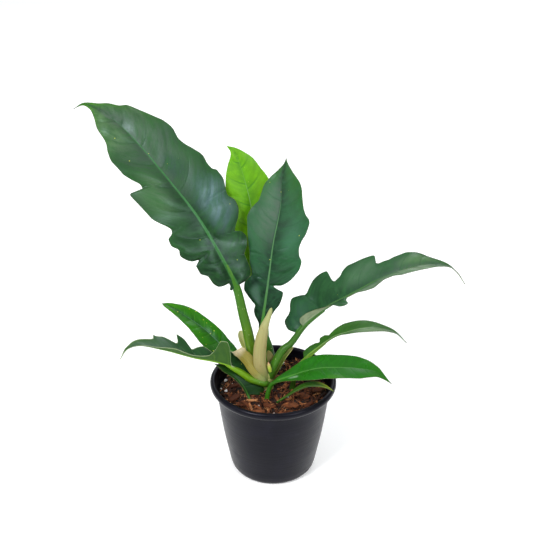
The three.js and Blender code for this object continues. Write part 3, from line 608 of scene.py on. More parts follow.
def flesh_material(name, low, high, flecked=0.10, rough=0.36, turn_at=(0.1, 0.6)):
    """Green plant flesh: the low colour passes into the high one along the piece, under faint
    lengthwise streaks and small pale flecks."""
    material, tree, shader = new_material(name)
    place = place_in(tree)
    along = mark_in(tree, "along")
    around = mark_in(tree, "round")
    lie = vector(tree, times(tree, along, 5.0), times(tree, maths(tree, "SINE", around), 7.0),
                 times(tree, maths(tree, "COSINE", around), 7.0))
    lines = patchy(tree, lie, 1.0, 0.35, 0.65)
    spots = flecked_by(tree, place, 420.0, flecked, 0.32)
    cloudy = patchy(tree, place, 70.0, 0.3, 0.7)
    tint = mix(tree, ease(tree, along, turn_at[0], turn_at[1]), low, high)
    dark = tuple(c * 0.62 for c in colour(*high)[:3]) + (1.0,)
    tint = mix(tree, times(tree, lines, 0.35), tint, dark)
    tint = mix(tree, times(tree, cloudy, 0.2), tint, low)
    tint = mix(tree, times(tree, spots, 0.5), tint, (190, 205, 140))
    bump = bumped(tree, lines, 0.25, 0.0003)
    plug(tree, shader, Base_Color=tint, Roughness=ease(tree, cloudy, 0.0, 1.0, rough, rough + 0.12),
         Normal=bump, Specular_IOR_Level=0.3, Subsurface_Weight=0.15,
         Subsurface_Radius=(0.002, 0.003, 0.001), Subsurface_Scale=0.5)
    return material


stem_flesh = flesh_material("crown_flesh", (96, 122, 44), (168, 172, 104), 0.05, 0.45)
scars = [(0, 7), (0.12, 8.2), (0.3, 8.6), (0.36, 8.0), (0.4, 8.5), (0.5, 8.6), (0.55, 7.9), (0.6, 8.4),
         (0.72, 8.2), (0.77, 7.5), (0.82, 7.8), (0.92, 6.4), (1, 3)]
stem = fleshy_rod("crown_stem", [(*CROWN, 90), (*CROWN, 113), (*CROWN, 137)], scars, rows=110, around=48,
                  facing=(0, -1, 0), ridges=0.006)
stem.data.materials.append(stem_flesh)
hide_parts("stem")

ribs = {
    "tall": [(-43, 16, 239), (-60, 26, 271), (-86, 41, 313), (-121, 61, 353), (-155, 81, 388),
             (-186, 98, 412), (-217, 117, 421), (-232, 125, 413)],
    "young": [(-12, 52, 215), (-20, 62, 262), (-26, 72, 312), (-33, 82, 340), (-45, 92, 372), (-54, 94, 379)],
    "centre": [(-14, 22, 176), (-6, 34, 233), (0, 44, 279), (8, 52, 321), (10, 56, 358), (14, 54, 380)],
    "arching": [(20, 4, 169), (38, 10, 192), (63, 18, 209), (90, 27, 220), (126, 39, 235), (161, 50, 243),
                (186, 59, 243), (209, 66, 237), (221, 70, 226), (233, 74, 208)],
    "small": [(37, 4, 146), (48, 7, 155), (72, 12, 172), (86, 16, 175), (104, 20, 178), (123, 25, 176),
              (145, 31, 166), (161, 35, 149)],
    "front": [(-1, -21, 129), (5, -22, 133), (19, -24, 140), (35, -26, 148), (53, -28, 154), (70, -31, 157),
              (94, -34, 158), (117, -37, 155), (135, -40, 141)],
    "sliver": [(5, -30, 109), (16, -31, 117), (27, -32, 126), (38, -32, 132), (49, -33, 134), (58, -34, 133),
               (70, -35, 127)],
    "upper": [(-42, 7, 150), (-57, 11, 157), (-84, 18, 181), (-111, 25, 198), (-123, 28, 204),
              (-131, 31, 206)],
    "lower": [(-26, -12.5, 129.5), (-49, -15, 148), (-70, -19, 158), (-90, -23, 165), (-124, -28, 179),
              (-152, -33, 188), (-165, -36, 185), (-174, -37, 172)],
    "basal": [(-27, -25, 107), (-30, -22, 113), (-35, -19, 123), (-44, -16, 133), (-57, -14, 142),
              (-69, -12, 150)],
}
faces = {
    "tall": ((0.2, -0.8, 0.55), (0.25, -0.7, 0.66)),
    "young": ((0.1, -0.85, 0.5), (0.1, -0.8, 0.6)),
    "centre": ((-0.1, -0.9, 0.4), (-0.1, -0.85, 0.5)),
    "front": ((0, -0.2, 1), (0, -0.2, 1)),
    "upper": ((0.3, -0.35, 0.85), (0.1, -0.35, 0.9)),
    "basal": ((0.4, -0.6, 0.7), (0.2, -0.3, 0.9)),
}
bright, grass, dull = (98, 142, 10), (38, 98, 4), (40, 84, 16)
stalks = {
    "tall": ([(-10, 1, 119), (-14, 4, 126), (-24, 9, 148), (-30, 11, 179), (-35, 13, 201)],
             [(0, 5.2), (0.12, 6.3), (0.3, 6.1), (0.62, 4.9), (0.75, 4.2), (1, 1.2)], (104, 140, 30), grass),
    "centre": ([(-3, 6, 118), (-1, 10, 124), (-3, 16, 146), (-9, 21, 166)],
               [(0, 4.6), (0.3, 4.5), (0.6, 3.4), (1, 1.2)], (48, 100, 14), (36, 84, 14)),
    "young": ([(-8, 5, 120), (-9, 9, 128), (-9, 30, 165)],
              [(0, 4.4), (0.3, 4), (0.7, 3), (1, 1.1)], (90, 140, 24), (80, 140, 16)),
    "arching": ([(-5, -2, 122), (-3, -3, 132), (11, 2, 160)],
                [(0, 4.8), (0.2, 5.1), (0.4, 4.3), (0.7, 3.3), (1, 1.4)], (64, 112, 24), (46, 94, 18)),
    "lower": ([(-5, -6, 117), (-9, -11.5, 121.5), (-17, -13, 125.5)],
              [(0, 3.8), (0.2, 4.5), (0.4, 4.5), (0.6, 4.1), (0.78, 3.2), (0.92, 1.6), (1, 0.5)],
              (60, 108, 20), (106, 150, 16)),
    "upper": ([(-10, 0, 119), (-13, 1, 123), (-24, 3, 136)],
              [(0, 4.4), (0.3, 3.8), (0.6, 3), (1, 1.1)], (96, 136, 34), (54, 114, 14)),
    "small": ([(21, -10, 98), (24, -4, 120), (29, 1, 135)],
              [(0, 3.4), (0.4, 2.9), (0.7, 2.3), (1, 1)], (44, 92, 16), bright),
    "front": ([(-8, -26, 98), (-7, -24, 113), (-4, -21, 123)],
              [(0, 2.8), (0.5, 2.5), (0.75, 1.9), (1, 0.8)], (50, 104, 16), grass),
    "sliver": ([(2, -29, 98), (4, -29.5, 105)],
               [(0, 1.5), (0.5, 1.2), (1, 0.5)], dull, dull),
    "basal": ([(-25, -28, 97), (-26, -26, 103)],
              [(0, 2.1), (0.5, 1.7), (1, 0.6)], dull, dull),
}
RUN_ON = 0.22
for leaf, (path, radii, low, high) in stalks.items():
    rib_line = smooth_path(ribs[leaf], 101)
    under = -unit(np.array(faces.get(leaf, ((0, 0, 1),))[0], float))
    sink = radii[-2][1] * 0.55
    tail = [rib_line[int(100 * RUN_ON * share)] + under * sink * (1 + 0.1 * share) for share in (0, 0.5, 1)]
    stalk = fleshy_rod(f"{leaf}_stalk", path + [tuple(p) for p in tail], radii, 0.16,
                       faces.get(leaf, ((0, 0, 1),))[0])
    stalk.data.materials.append(flesh_material(f"{leaf}_stalk_flesh", low, high))
    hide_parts(f"{leaf}_leaf_stalk")


# ---- leaf blades ----
# Thin leathery blades, folded a little along a fleshy rib. The older ones are dark, glossy and cut
# into lobes; the young one is still yellow-green, and the leaves of the offsets are plain.

leaves = {
    "tall": dict(
        slant=[(0, -0.4), (0.15, -0.2), (0.4, 0.25), (0.5, 0.5), (0.6, 0.4), (1, 0.6)],
        slant_right=[(0, -0.5), (0.12, -0.4), (0.25, -0.2), (0.5, 0.2), (1, 0.5)],
        fold=[(0, 8), (1, 8)], curl=[(0, -10), (1, -14)], ruffle=(1.2, 6, 0), swell=2.9,
        left=[(0, 7.5), (0.008, 9), (0.016, 6.5), (0.026, 6.5), (0.037, 13.5), (0.052, 20), (0.077, 23.5),
              (0.103, 24.5), (0.135, 31), (0.16, 31), (0.17, 24.5), (0.18, 31.5), (0.2, 38), (0.223, 41.5),
              (0.238, 39.5), (0.265, 44), (0.287, 42.5), (0.297, 35.5), (0.31, 33.5), (0.325, 35.5),
              (0.345, 40), (0.372, 44.5), (0.427, 45.5), (0.452, 46), (0.46, 45), (0.464, 38), (0.467, 30),
              (0.48, 29), (0.505, 34), (0.542, 38), (0.605, 38), (0.66, 33.5), (0.698, 28), (0.775, 21.5),
              (0.84, 11.5), (0.89, 5), (0.945, 1.5), (1, 0)],
        right=[(0, 3), (0.012, 10), (0.037, 20), (0.062, 24), (0.095, 25), (0.122, 26.5), (0.155, 33.5),
               (0.185, 38), (0.202, 36.5), (0.208, 30.5), (0.223, 33.5), (0.25, 41.5), (0.275, 46.5),
               (0.295, 47.5), (0.315, 44), (0.338, 47.5), (0.37, 52), (0.39, 52), (0.404, 48.5),
               (0.422, 48), (0.448, 49.5), (0.485, 46), (0.522, 42), (0.55, 40.5), (0.59, 43), (0.625, 41),
               (0.66, 36.5), (0.728, 29), (0.768, 24), (0.797, 17), (0.843, 12), (0.888, 6), (0.94, 2),
               (1, 0)],
        rows=300, veins=9, rib=2.5,
        creases=[(-1, 0.205, 6.5, 0.022), (-1, 0.12, 5, 0.02), (-1, 0.33, 3.5, 0.02), (-1, 0.06, 2, 0.012),
                 (1, 0.17, 2.6, 0.018), (1, 0.3, 1.2, 0.02), (1, 0.47, 1.5, 0.02)]),
    "young": dict(
        slant=[(0, 0.1), (1, 0.5)], fold=[(0, 14), (1, 12)],
        curl=[(0, -14), (1, -18)], ruffle=(0.6, 3, 0), swell=1.2,
        left=[(0, 3), (0.1, 14), (0.3, 24), (0.5, 27), (0.65, 25), (0.75, 20.5), (0.83, 14.3), (0.93, 4.5),
              (1, 0)],
        right=[(0, 3), (0.1, 16), (0.3, 26), (0.5, 30), (0.66, 27), (0.74, 22), (0.82, 17), (0.89, 9.5),
               (0.955, 3), (1, 0)],
        rows=160, veins=7, rib=2.1, creases=[(1, 0.62, 1.2, 0.012), (-1, 0.6, 1.2, 0.012)]),
    "centre": dict(
        slant=[(0, 0), (0.5, 0.1), (1, 0.4)],
        slant_right=[(0, 0.3), (0.2, 0.3), (0.26, -0.1), (0.5, 0.1), (1, 0.4)],
        fold=[(0, 14), (1, 14)], curl=[(0, -14), (1, -18)], ruffle=(0.8, 5, 0.3), swell=2.2,
        left=[(0, 2), (0.04, 5), (0.08, 10.5), (0.105, 12), (0.133, 11.5), (0.155, 15.5), (0.185, 21.5),
              (0.22, 27), (0.253, 27.5), (0.273, 25), (0.307, 20.5), (0.333, 21), (0.362, 23.5),
              (0.425, 26), (0.47, 28.5), (0.557, 33.5), (0.6, 35.5), (0.628, 34.5), (0.675, 30),
              (0.708, 26), (0.753, 23.5), (0.812, 20), (0.85, 15), (0.91, 6), (0.963, 1.2), (1, 0)],
        right=[(0, 2), (0.04, 5), (0.08, 10), (0.11, 13), (0.143, 17.5), (0.195, 19.5), (0.245, 18),
               (0.256, 11.5), (0.264, 7), (0.28, 15), (0.312, 23.5), (0.352, 30.5), (0.39, 35), (0.422, 36),
               (0.453, 32.5), (0.495, 31), (0.53, 32), (0.583, 35.5), (0.63, 36.5), (0.652, 35), (0.67, 31),
               (0.705, 27), (0.753, 24.5), (0.79, 23.5), (0.823, 21.5), (0.873, 16), (0.925, 9.5),
               (0.97, 3), (1, 0)],
        rows=240, veins=8, rib=1.9,
        creases=[(1, 0.43, 1.8, 0.014), (1, 0.3, 2.4, 0.014), (1, 0.66, 0.8, 0.012), (-1, 0.27, 2, 0.012),
                 (-1, 0.44, 1.2, 0.012)]),
    "arching": dict(
        slant=[(0, -0.8), (0.12, -0.6), (0.2, -0.2), (0.265, 0.04), (0.287, 0.19), (0.308, 0.15), (0.44, 0.4),
               (0.476, 0.56), (0.495, 0.48), (1, 0.5)],
        slant_right=[(0, -0.4), (0.12, -0.3), (0.2, 0), (0.3, 0.3), (0.5, 0.4), (1, 0.5)],
        fold=[(0, 24), (1, 16)],
        fold_right=[(0, 78), (0.16, 75), (0.235, 45), (0.27, 0), (0.32, -5), (0.45, 0), (0.6, 6), (1, 6)],
        curl=[(0, 0), (1, 0)], ruffle=(1.0, 6, 0.2), swell=2.2,
        left=[(0, 0.5), (0.05, 1), (0.056, 3), (0.067, 12), (0.085, 18.5), (0.105, 23.5), (0.122, 24.5),
              (0.14, 26), (0.16, 32.5), (0.175, 36.5), (0.19, 34.5), (0.208, 32), (0.233, 37.5),
              (0.255, 43.5), (0.276, 46), (0.286, 45), (0.291, 40), (0.295, 33), (0.3, 29), (0.312, 27.5),
              (0.335, 28.5), (0.36, 34.5), (0.388, 38), (0.425, 37.5), (0.46, 35), (0.474, 32.5),
              (0.479, 28), (0.485, 22.5), (0.512, 20.5), (0.542, 21), (0.573, 23.5), (0.62, 24.5),
              (0.672, 21), (0.735, 15), (0.802, 7.5), (0.855, 3.5), (0.93, 2), (1, 0)],
        right=[(0, 0.5), (0.095, 1), (0.11, 8), (0.13, 12.5), (0.15, 12.5), (0.17, 11), (0.19, 9.5),
               (0.22, 5.5), (0.242, 3), (0.262, 12), (0.283, 14.5), (0.305, 12), (0.315, 5), (0.34, 1.2),
               (0.375, 2), (0.413, 8), (0.44, 11), (0.475, 8), (0.515, 4.5), (0.552, 5), (0.583, 11),
               (0.628, 13), (0.69, 10.5), (0.76, 9.5), (0.84, 5), (0.92, 2), (1, 0)],
        rows=300, veins=10, rib=2.2,
        creases=[(1, 0.205, 2.2, 0.012), (1, 0.31, 1.4, 0.012), (1, 0.13, 1.2, 0.01), (1, 0.5, 1, 0.012)]),
    "small": dict(
        slant=[(0, 0.1), (1, 0.5)], fold=[(0, 24), (1, 16)], fold_right=[(0, 24), (0.2, 8), (1, 5)],
        curl=[(0, 0), (1, 0)], ruffle=(0.4, 4, 0.2), swell=0.7,
        left=[(0, 2), (0.02, 8), (0.08, 9), (0.13, 8), (0.17, 5.5), (0.183, 9.5), (0.223, 9), (0.265, 6.5),
              (0.34, 10.5), (0.4, 13.5), (0.478, 12.5), (0.557, 11.5), (0.64, 9.5), (0.733, 6), (0.833, 4),
              (0.91, 2.5), (1, 0)],
        right=[(0, 2), (0.2, 1.5), (0.35, 2.5), (0.395, 4.5), (0.46, 7.5), (0.527, 10), (0.61, 11),
               (0.713, 8), (0.838, 3.5), (0.907, 1.5), (1, 0)],
        rows=170, veins=8, rib=1.3, creases=[(1, 0.26, 1.2, 0.014)]),
    "front": dict(
        slant=[(0, 0.2), (1, 0.6)], fold=[(0, 20), (1, 10)], fold_right=[(0, 10), (0.3, 2), (1, 0)],
        curl=[(0, -5), (1, -8)], ruffle=(0.4, 3, 0.2), swell=0.9,
        left=[(0, 2), (0.095, 7), (0.2, 13), (0.3, 17), (0.41, 18), (0.5, 18), (0.61, 17), (0.71, 14),
              (0.82, 8), (0.9, 3.5), (1, 0)],
        right=[(0, 2), (0.095, 5), (0.17, 9), (0.265, 15), (0.343, 17), (0.463, 17), (0.62, 16), (0.76, 11),
               (0.85, 6), (0.95, 1.5), (1, 0)],
        rows=160, veins=9, rib=1.3),
    "sliver": dict(
        slant=[(0, 0.2), (1, 0.6)], fold=[(0, 22), (1, 12)],
        curl=[(0, 0), (1, 0)], ruffle=(0.3, 3, 0.2), swell=0.2,
        left=[(0, 1), (0.2, 3), (0.4, 5), (0.6, 6), (0.8, 4), (0.92, 2), (1, 0)],
        right=[(0, 1), (0.2, 2.5), (0.4, 4.5), (0.6, 5), (0.8, 3.5), (0.92, 1.5), (1, 0)],
        rows=80, veins=8, rib=0.7),
    "upper": dict(
        slant=[(0, 0.2), (1, 0.6)], fold=[(0, 15), (1, 12)],
        curl=[(0, -5), (1, -8)], ruffle=(0.2, 3, 0.1), swell=0.8,
        left=[(0, 2), (0.06, 14), (0.14, 21), (0.208, 22.5), (0.348, 22), (0.413, 20), (0.485, 17),
              (0.57, 13.5), (0.66, 11), (0.75, 8.5), (0.87, 5.5), (0.948, 3), (1, 0)],
        right=[(0, 4), (0.03, 6.5), (0.068, 9.5), (0.158, 12.5), (0.268, 14), (0.338, 14), (0.463, 13.5),
               (0.58, 13.5), (0.713, 11.5), (0.825, 7.5), (0.94, 3), (1, 0)],
        rows=140, veins=8, rib=1.3),
    "lower": dict(
        slant=[(0, 0), (0.3, 0.2), (0.5, 0.45), (1, 0.5)],
        slant_right=[(0, -0.3), (0.2, 0), (0.35, 0.2), (0.5, 0.75), (0.7, 0.6), (1, 0.5)],
        fold=[(0, 80), (0.15, 84), (0.3, 78), (0.36, 70), (0.6, 68), (0.75, 40), (1, 18)],
        fold_right=[(0, 30), (1, 18)], curl=[(0, 0), (1, 0)], ruffle=(0.5, 5, 0.2), swell=1.0,
        left=[(0, 1), (0.17, 1.5), (0.188, 5), (0.206, 12.5), (0.222, 19.5), (0.238, 27.5), (0.256, 32),
              (0.284, 32.5), (0.298, 28.5), (0.307, 20.5), (0.32, 14.5), (0.34, 9), (0.37, 6.5),
              (0.413, 4.8), (0.453, 4.2), (0.503, 5.5), (0.562, 7), (0.625, 5.5), (0.7, 4.5), (0.8, 4),
              (0.9, 2.5), (1, 0)],
        right=[(0, 9), (0.03, 16), (0.085, 19), (0.133, 20), (0.165, 17.5), (0.19, 20.5), (0.21, 16),
               (0.25, 10), (0.3, 11), (0.33, 14.5), (0.345, 16.5), (0.357, 17.5), (0.39, 15.5), (0.42, 13),
               (0.43, 17), (0.438, 23), (0.455, 25.5), (0.47, 26.5), (0.478, 23.5), (0.49, 18.5),
               (0.508, 14.5), (0.54, 14), (0.57, 16), (0.605, 18), (0.645, 17.5), (0.672, 18), (0.68, 15.5),
               (0.693, 12.5), (0.74, 10), (0.797, 9), (0.835, 7.5), (0.883, 4), (0.932, 2.2), (1, 0)],
        rows=300, veins=10, rib=1.7,
        creases=[(-1, 0.42, 1.4, 0.012), (-1, 0.52, 1.2, 0.012), (1, 0.24, 1, 0.01), (-1, 0.17, 1, 0.01)]),
    "basal": dict(
        slant=[(0, 0), (1, 0.2)], slant_right=[(0, -0.8), (0.5, -0.5), (1, 0)], fold=[(0, 10), (1, 10)],
        curl=[(0, 0), (1, 0)], ruffle=(0.3, 3, 0.2), swell=0.4,
        left=[(0, 1), (0.3, 3), (0.7, 3), (1, 0)],
        right=[(0, 1), (0.1, 1.6), (0.135, 4), (0.143, 10), (0.16, 15.5), (0.223, 20.5), (0.3, 21),
               (0.45, 17), (0.6, 10), (0.8, 6), (1, 0)],
        rows=120, veins=6, rib=0.9),
}


def blade_piece(name, rib, face, slant, fold, curl, ruffle, left, right, rows, veins, rib_size, swell=0.0,
                fold_right=None, slant_right=None, creases=(), thick=(0.75, 0.3), columns=26):
    """A leaf blade as one closed sheet. At place u on the rib, a half of width w leaves it `fold`
    degrees above the plane it faces and bends `curl` more by its margin, so at share v of its
    width it is w/k (sin(f + k v) - sin f) out and w/k (cos f - cos(f + k v)) up, and `slant` w v
    further towards the tip. Added to its rise are the ruffle, a sine that grows as v^2 to the
    margin, the swelling between side veins, |sin(pi q)|, where q counts the veins, and sharp
    creases (side, place, depth, spread) of depth exp(-|u - place| / spread). The sheet is `thick`
    at the rib and at the margin, and the rib is a rounded ridge on its underside."""
    u = np.linspace(0, 1, rows)
    centre = smooth_path(rib, rows)
    along = unit(np.gradient(centre, axis=0))
    facing = unit(np.array(face[0], float) * (1 - u[:, None]) + np.array(face[1], float) * u[:, None])
    across = unit(np.cross(facing, along))
    up = np.cross(along, across)
    v = np.r_[np.linspace(0, 1, columns) ** 1.4 * 0.985, 1.0]
    halves = []
    for sign, outline, tilt, lean_at in ((1, left, fold, slant),
                                         (-1, right, fold_right or fold, slant_right or slant)):
        w = np.maximum(read(outline, u), 0.25)[:, None]
        f = np.radians(read(tilt, u))[:, None]
        k = np.radians(read(curl, u))[:, None]
        k = np.where(np.abs(k) < 1e-3, 1e-3, k)
        out = w / k * (np.sin(f + k * v) - np.sin(f))
        rise = w / k * (np.cos(f) - np.cos(f + k * v))
        side = 0 if sign > 0 else 1
        ease_in = np.minimum(1, w / 15)
        rise = rise + ruffle[0] * np.sin(2 * math.pi * (ruffle[1] * u[:, None] + ruffle[2] + 0.37 * side)) \
            * v ** 2 * ease_in
        q = veins * (u[:, None] - 0.1 * v ** 2 * w / 40) + 0.23 * side
        pillow = np.abs(np.sin(math.pi * q)) ** 0.8 * np.sin(math.pi * np.minimum(v, 0.96)) ** 0.6
        broad = np.sin(2 * math.pi * (q / 3.1 + 0.2 * side)) * np.sin(math.pi * np.minimum(v, 0.98))
        rise = rise + swell * (0.45 * pillow + 0.8 * broad) * ease_in
        ease_out = np.clip((v - 0.12) / 0.5, 0, 1) ** 1.5
        for crease_side, at_place, depth, spread in creases:
            if crease_side == sign:
                rise = rise - depth * np.exp(-np.abs(u[:, None] - at_place) / spread) * ease_out
        angle = f + k * v
        normal = up[:, None] * np.cos(angle)[..., None] - sign * across[:, None] * np.sin(angle)[..., None]
        lean = read(lean_at, u)[:, None]
        sheet = (centre[:, None] + sign * across[:, None] * out[..., None] + up[:, None] * rise[..., None]
                 + along[:, None] * (lean * w * v)[..., None])
        reach = w * v + 0 * u[:, None]
        rib_wide = rib_size * (1 - u[:, None]) ** 1.6 + 0.18
        ridge = np.exp(-(reach / rib_wide) ** 2)
        flesh = thick[1] + (thick[0] - thick[1]) * (1 - v ** 2)
        top = sheet + normal * (flesh / 2 + 0.25 * rib_wide * ridge)[..., None]
        sole = sheet - normal * (flesh / 2 + 0.95 * rib_wide * ridge)[..., None]
        marks = dict(reach=reach / rib_wide, margin=w * (1 - v), vein=q + 0 * v, across=sign * v + 0 * w,
                     along=u[:, None] + 0 * v)
        halves.append((top, sole, marks))
    (lt, ls, lm), (rt, rs, rm) = halves
    upper = np.concatenate([lt[:, ::-1], rt[:, 1:]], 1)
    lower_sheet = np.concatenate([ls[:, ::-1], rs[:, 1:]], 1)
    wide = upper.shape[1]
    ring = np.concatenate([upper, lower_sheet[:, ::-1]], 1)
    marks = {}
    for key in lm:
        joined = np.concatenate([lm[key][:, ::-1], rm[key][:, 1:]], 1)
        marks[key] = np.concatenate([joined, joined[:, ::-1]], 1)
    marks["under"] = np.concatenate([np.zeros((rows, wide)), np.ones((rows, wide))], 1)
    around = 2 * wide
    j = np.arange(wide - 1)
    first = np.stack([j, around - 1 - j, around - 2 - j, j + 1], -1)
    final = first[:, ::-1] + (rows - 1) * around
    quads = np.vstack([strip_faces(rows, around), first, final])
    return add_piece(name, ring, quads, marks)


def leaf_material(name, base, heart, tip, rib, vein, under, sheen_and_shade_patches=(), sheen_by_side=(0.0, 0.0),
                  sheen_from=(0.3, 0.6), sheen_colour=(98, 118, 102), gloss=0.3, spots=0.04, vein_show=0.2,
                  edge=(84, 92, 48), edge_wide=0.55, spot_size=0.17, lit_streaking=0.45,
                  foot=(60, 124, 16), tinge=(0.72, 0.88, 1, 1)):
    """A leaf's skin: a darker base colour at its foot and along the rib, painted shade where the blade
    leaves the crown and folds along the rib, heart colour over the blade, tip colour towards the tip
    and its margins, a painted greyish sheen on its left and right half from a given share of its length
    on, painted sheen and shade patches (place along, place across, size, strength, colour), painted
    highlights in streaks of a lit copy of the heart colour, darker clouds of the base colour, a pale
    rib, side veins that are paler on some leaves and darker on the dark older ones as painted shade in
    their creases, a thin dull edge, a dull pale underside, and yellow flecks."""
    material, tree, shader = new_material(name)
    place = place_in(tree)
    along, reach, margin, vein_count, across, underside = (
        mark_in(tree, key) for key in ("along", "reach", "margin", "vein", "across", "under"))
    lie = vector(tree, times(tree, vein_count, 1.7), times(tree, across, 1.1), underside)
    streaks = patchy(tree, lie, 2.2, 0.35, 0.68)
    clouds = patchy(tree, place, 26.0, 0.35, 0.68)
    fine = patchy(tree, place, 900.0, 0.3, 0.7)
    # painted shade: the blade starts in the darker base colour at its foot, by the crown
    skin = mix(tree, ease(tree, along, 0.05, 0.4), base, heart)
    to_side = maths(tree, "ABSOLUTE", across)
    near_tip = plus(tree, along, times(tree, to_side, 0.16))
    skin = mix(tree, ease(tree, near_tip, 0.72, 1.06), skin, tip)
    # painted shade: darker base colour along the rib, where the blade folds
    skin = mix(tree, ease(tree, to_side, 0.0, 0.55, 0.75, 0.0), skin, base)
    # painted sheen: a greyish reflection laid into the colour over the outer part of each half, towards the
    # margins
    sheen_zone = times(tree, ease(tree, along, *sheen_from), ease(tree, to_side, 1.05, 0.35, 0.2, 0.85))
    sheen_zone = times(tree, sheen_zone, ease(tree, along, 0.96, 0.78))
    sheen_zone = times(tree, sheen_zone, ease(tree, clouds, 0.0, 1.0, 0.65, 1.0))
    sheen_zone = times(tree, sheen_zone, ease(tree, across, -0.05, 0.1, sheen_by_side[1], sheen_by_side[0]))
    skin = mix(tree, sheen_zone, skin, sheen_colour)
    # painted sheen and painted shade: paler patches where light catches the blade and darker ones where it
    # falls into shade
    for at_along, at_across, size, strength, shade in sheen_and_shade_patches:
        down = times(tree, maths(tree, "SUBTRACT", along, at_along), 4.0)
        over = maths(tree, "SUBTRACT", across, at_across)
        far = maths(tree, "SQRT", plus(tree, times(tree, down, down), times(tree, over, over)))
        skin = mix(tree, ease(tree, far, size, 0.1, 0.0, strength), skin, shade)
    # painted highlights: streaks of a lit, brighter copy of the heart colour between the veins, then darker
    # clouds of the base colour
    lit = tuple(min(1.0, c * 1.5) for c in colour(*heart)[:3]) + (1.0,)
    skin = mix(tree, times(tree, streaks, lit_streaking), skin, lit)
    skin = mix(tree, times(tree, clouds, lit_streaking * 0.6), skin, base)
    count = maths(tree, "FRACT", plus(tree, vein_count, 1000.5))
    off = maths(tree, "ABSOLUTE", maths(tree, "SUBTRACT", count, 0.5))
    vein_line = ease(tree, off, 0.07, 0.0)
    fade = ease(tree, to_side, 0.95, 0.2)
    vein_mask = times(tree, times(tree, vein_line, fade), vein_show)
    # side veins in the vein colour: paler than the blade on some leaves, and on the dark older leaves darker,
    # as painted shade in the sunken vein creases
    skin = mix(tree, vein_mask, skin, vein)
    rib_mask = ease(tree, reach, 1.25, 0.6)
    stalk_side = ease(tree, along, 0.0, 0.3, 0.75, 0.0)
    rib_tint = mix(tree, stalk_side, rib, foot)
    rib_mask = times(tree, rib_mask, ease(tree, along, 0.55, 0.9, 1.0, 0.35))
    skin = mix(tree, rib_mask, skin, rib_tint)
    spot = flecked_by(tree, place, 240.0, spots, spot_size)
    skin = mix(tree, times(tree, spot, 0.85), skin, (196, 205, 74))
    sole = mix(tree, times(tree, streaks, 0.4), under, heart)
    sole = mix(tree, rib_mask, sole, rib)
    sole = mix(tree, times(tree, vein_mask, 0.8), sole, rib)
    skin = mix(tree, ease(tree, underside, 0.4, 0.6), skin, sole)
    skin = mix(tree, ease(tree, margin, edge_wide, 0.1, 0.0, 0.8), skin, edge)
    relief = plus(tree, times(tree, fine, 0.15), times(tree, times(tree, vein_line, fade), -0.6))
    relief = plus(tree, relief, times(tree, streaks, 0.5))
    bump = bumped(tree, relief, 0.35, 0.0005)
    satin = ease(tree, clouds, 0.0, 1.0, gloss, gloss + 0.1)
    dull_side = ease(tree, underside, 0.4, 0.6, 0.0, 0.25)
    plug(tree, shader, Base_Color=skin, Roughness=plus(tree, satin, dull_side),
         Normal=bump, Specular_IOR_Level=0.24, Specular_Tint=tinge, Subsurface_Weight=0.08,
         Subsurface_Radius=(0.001, 0.002, 0.0006), Subsurface_Scale=0.5)
    return material


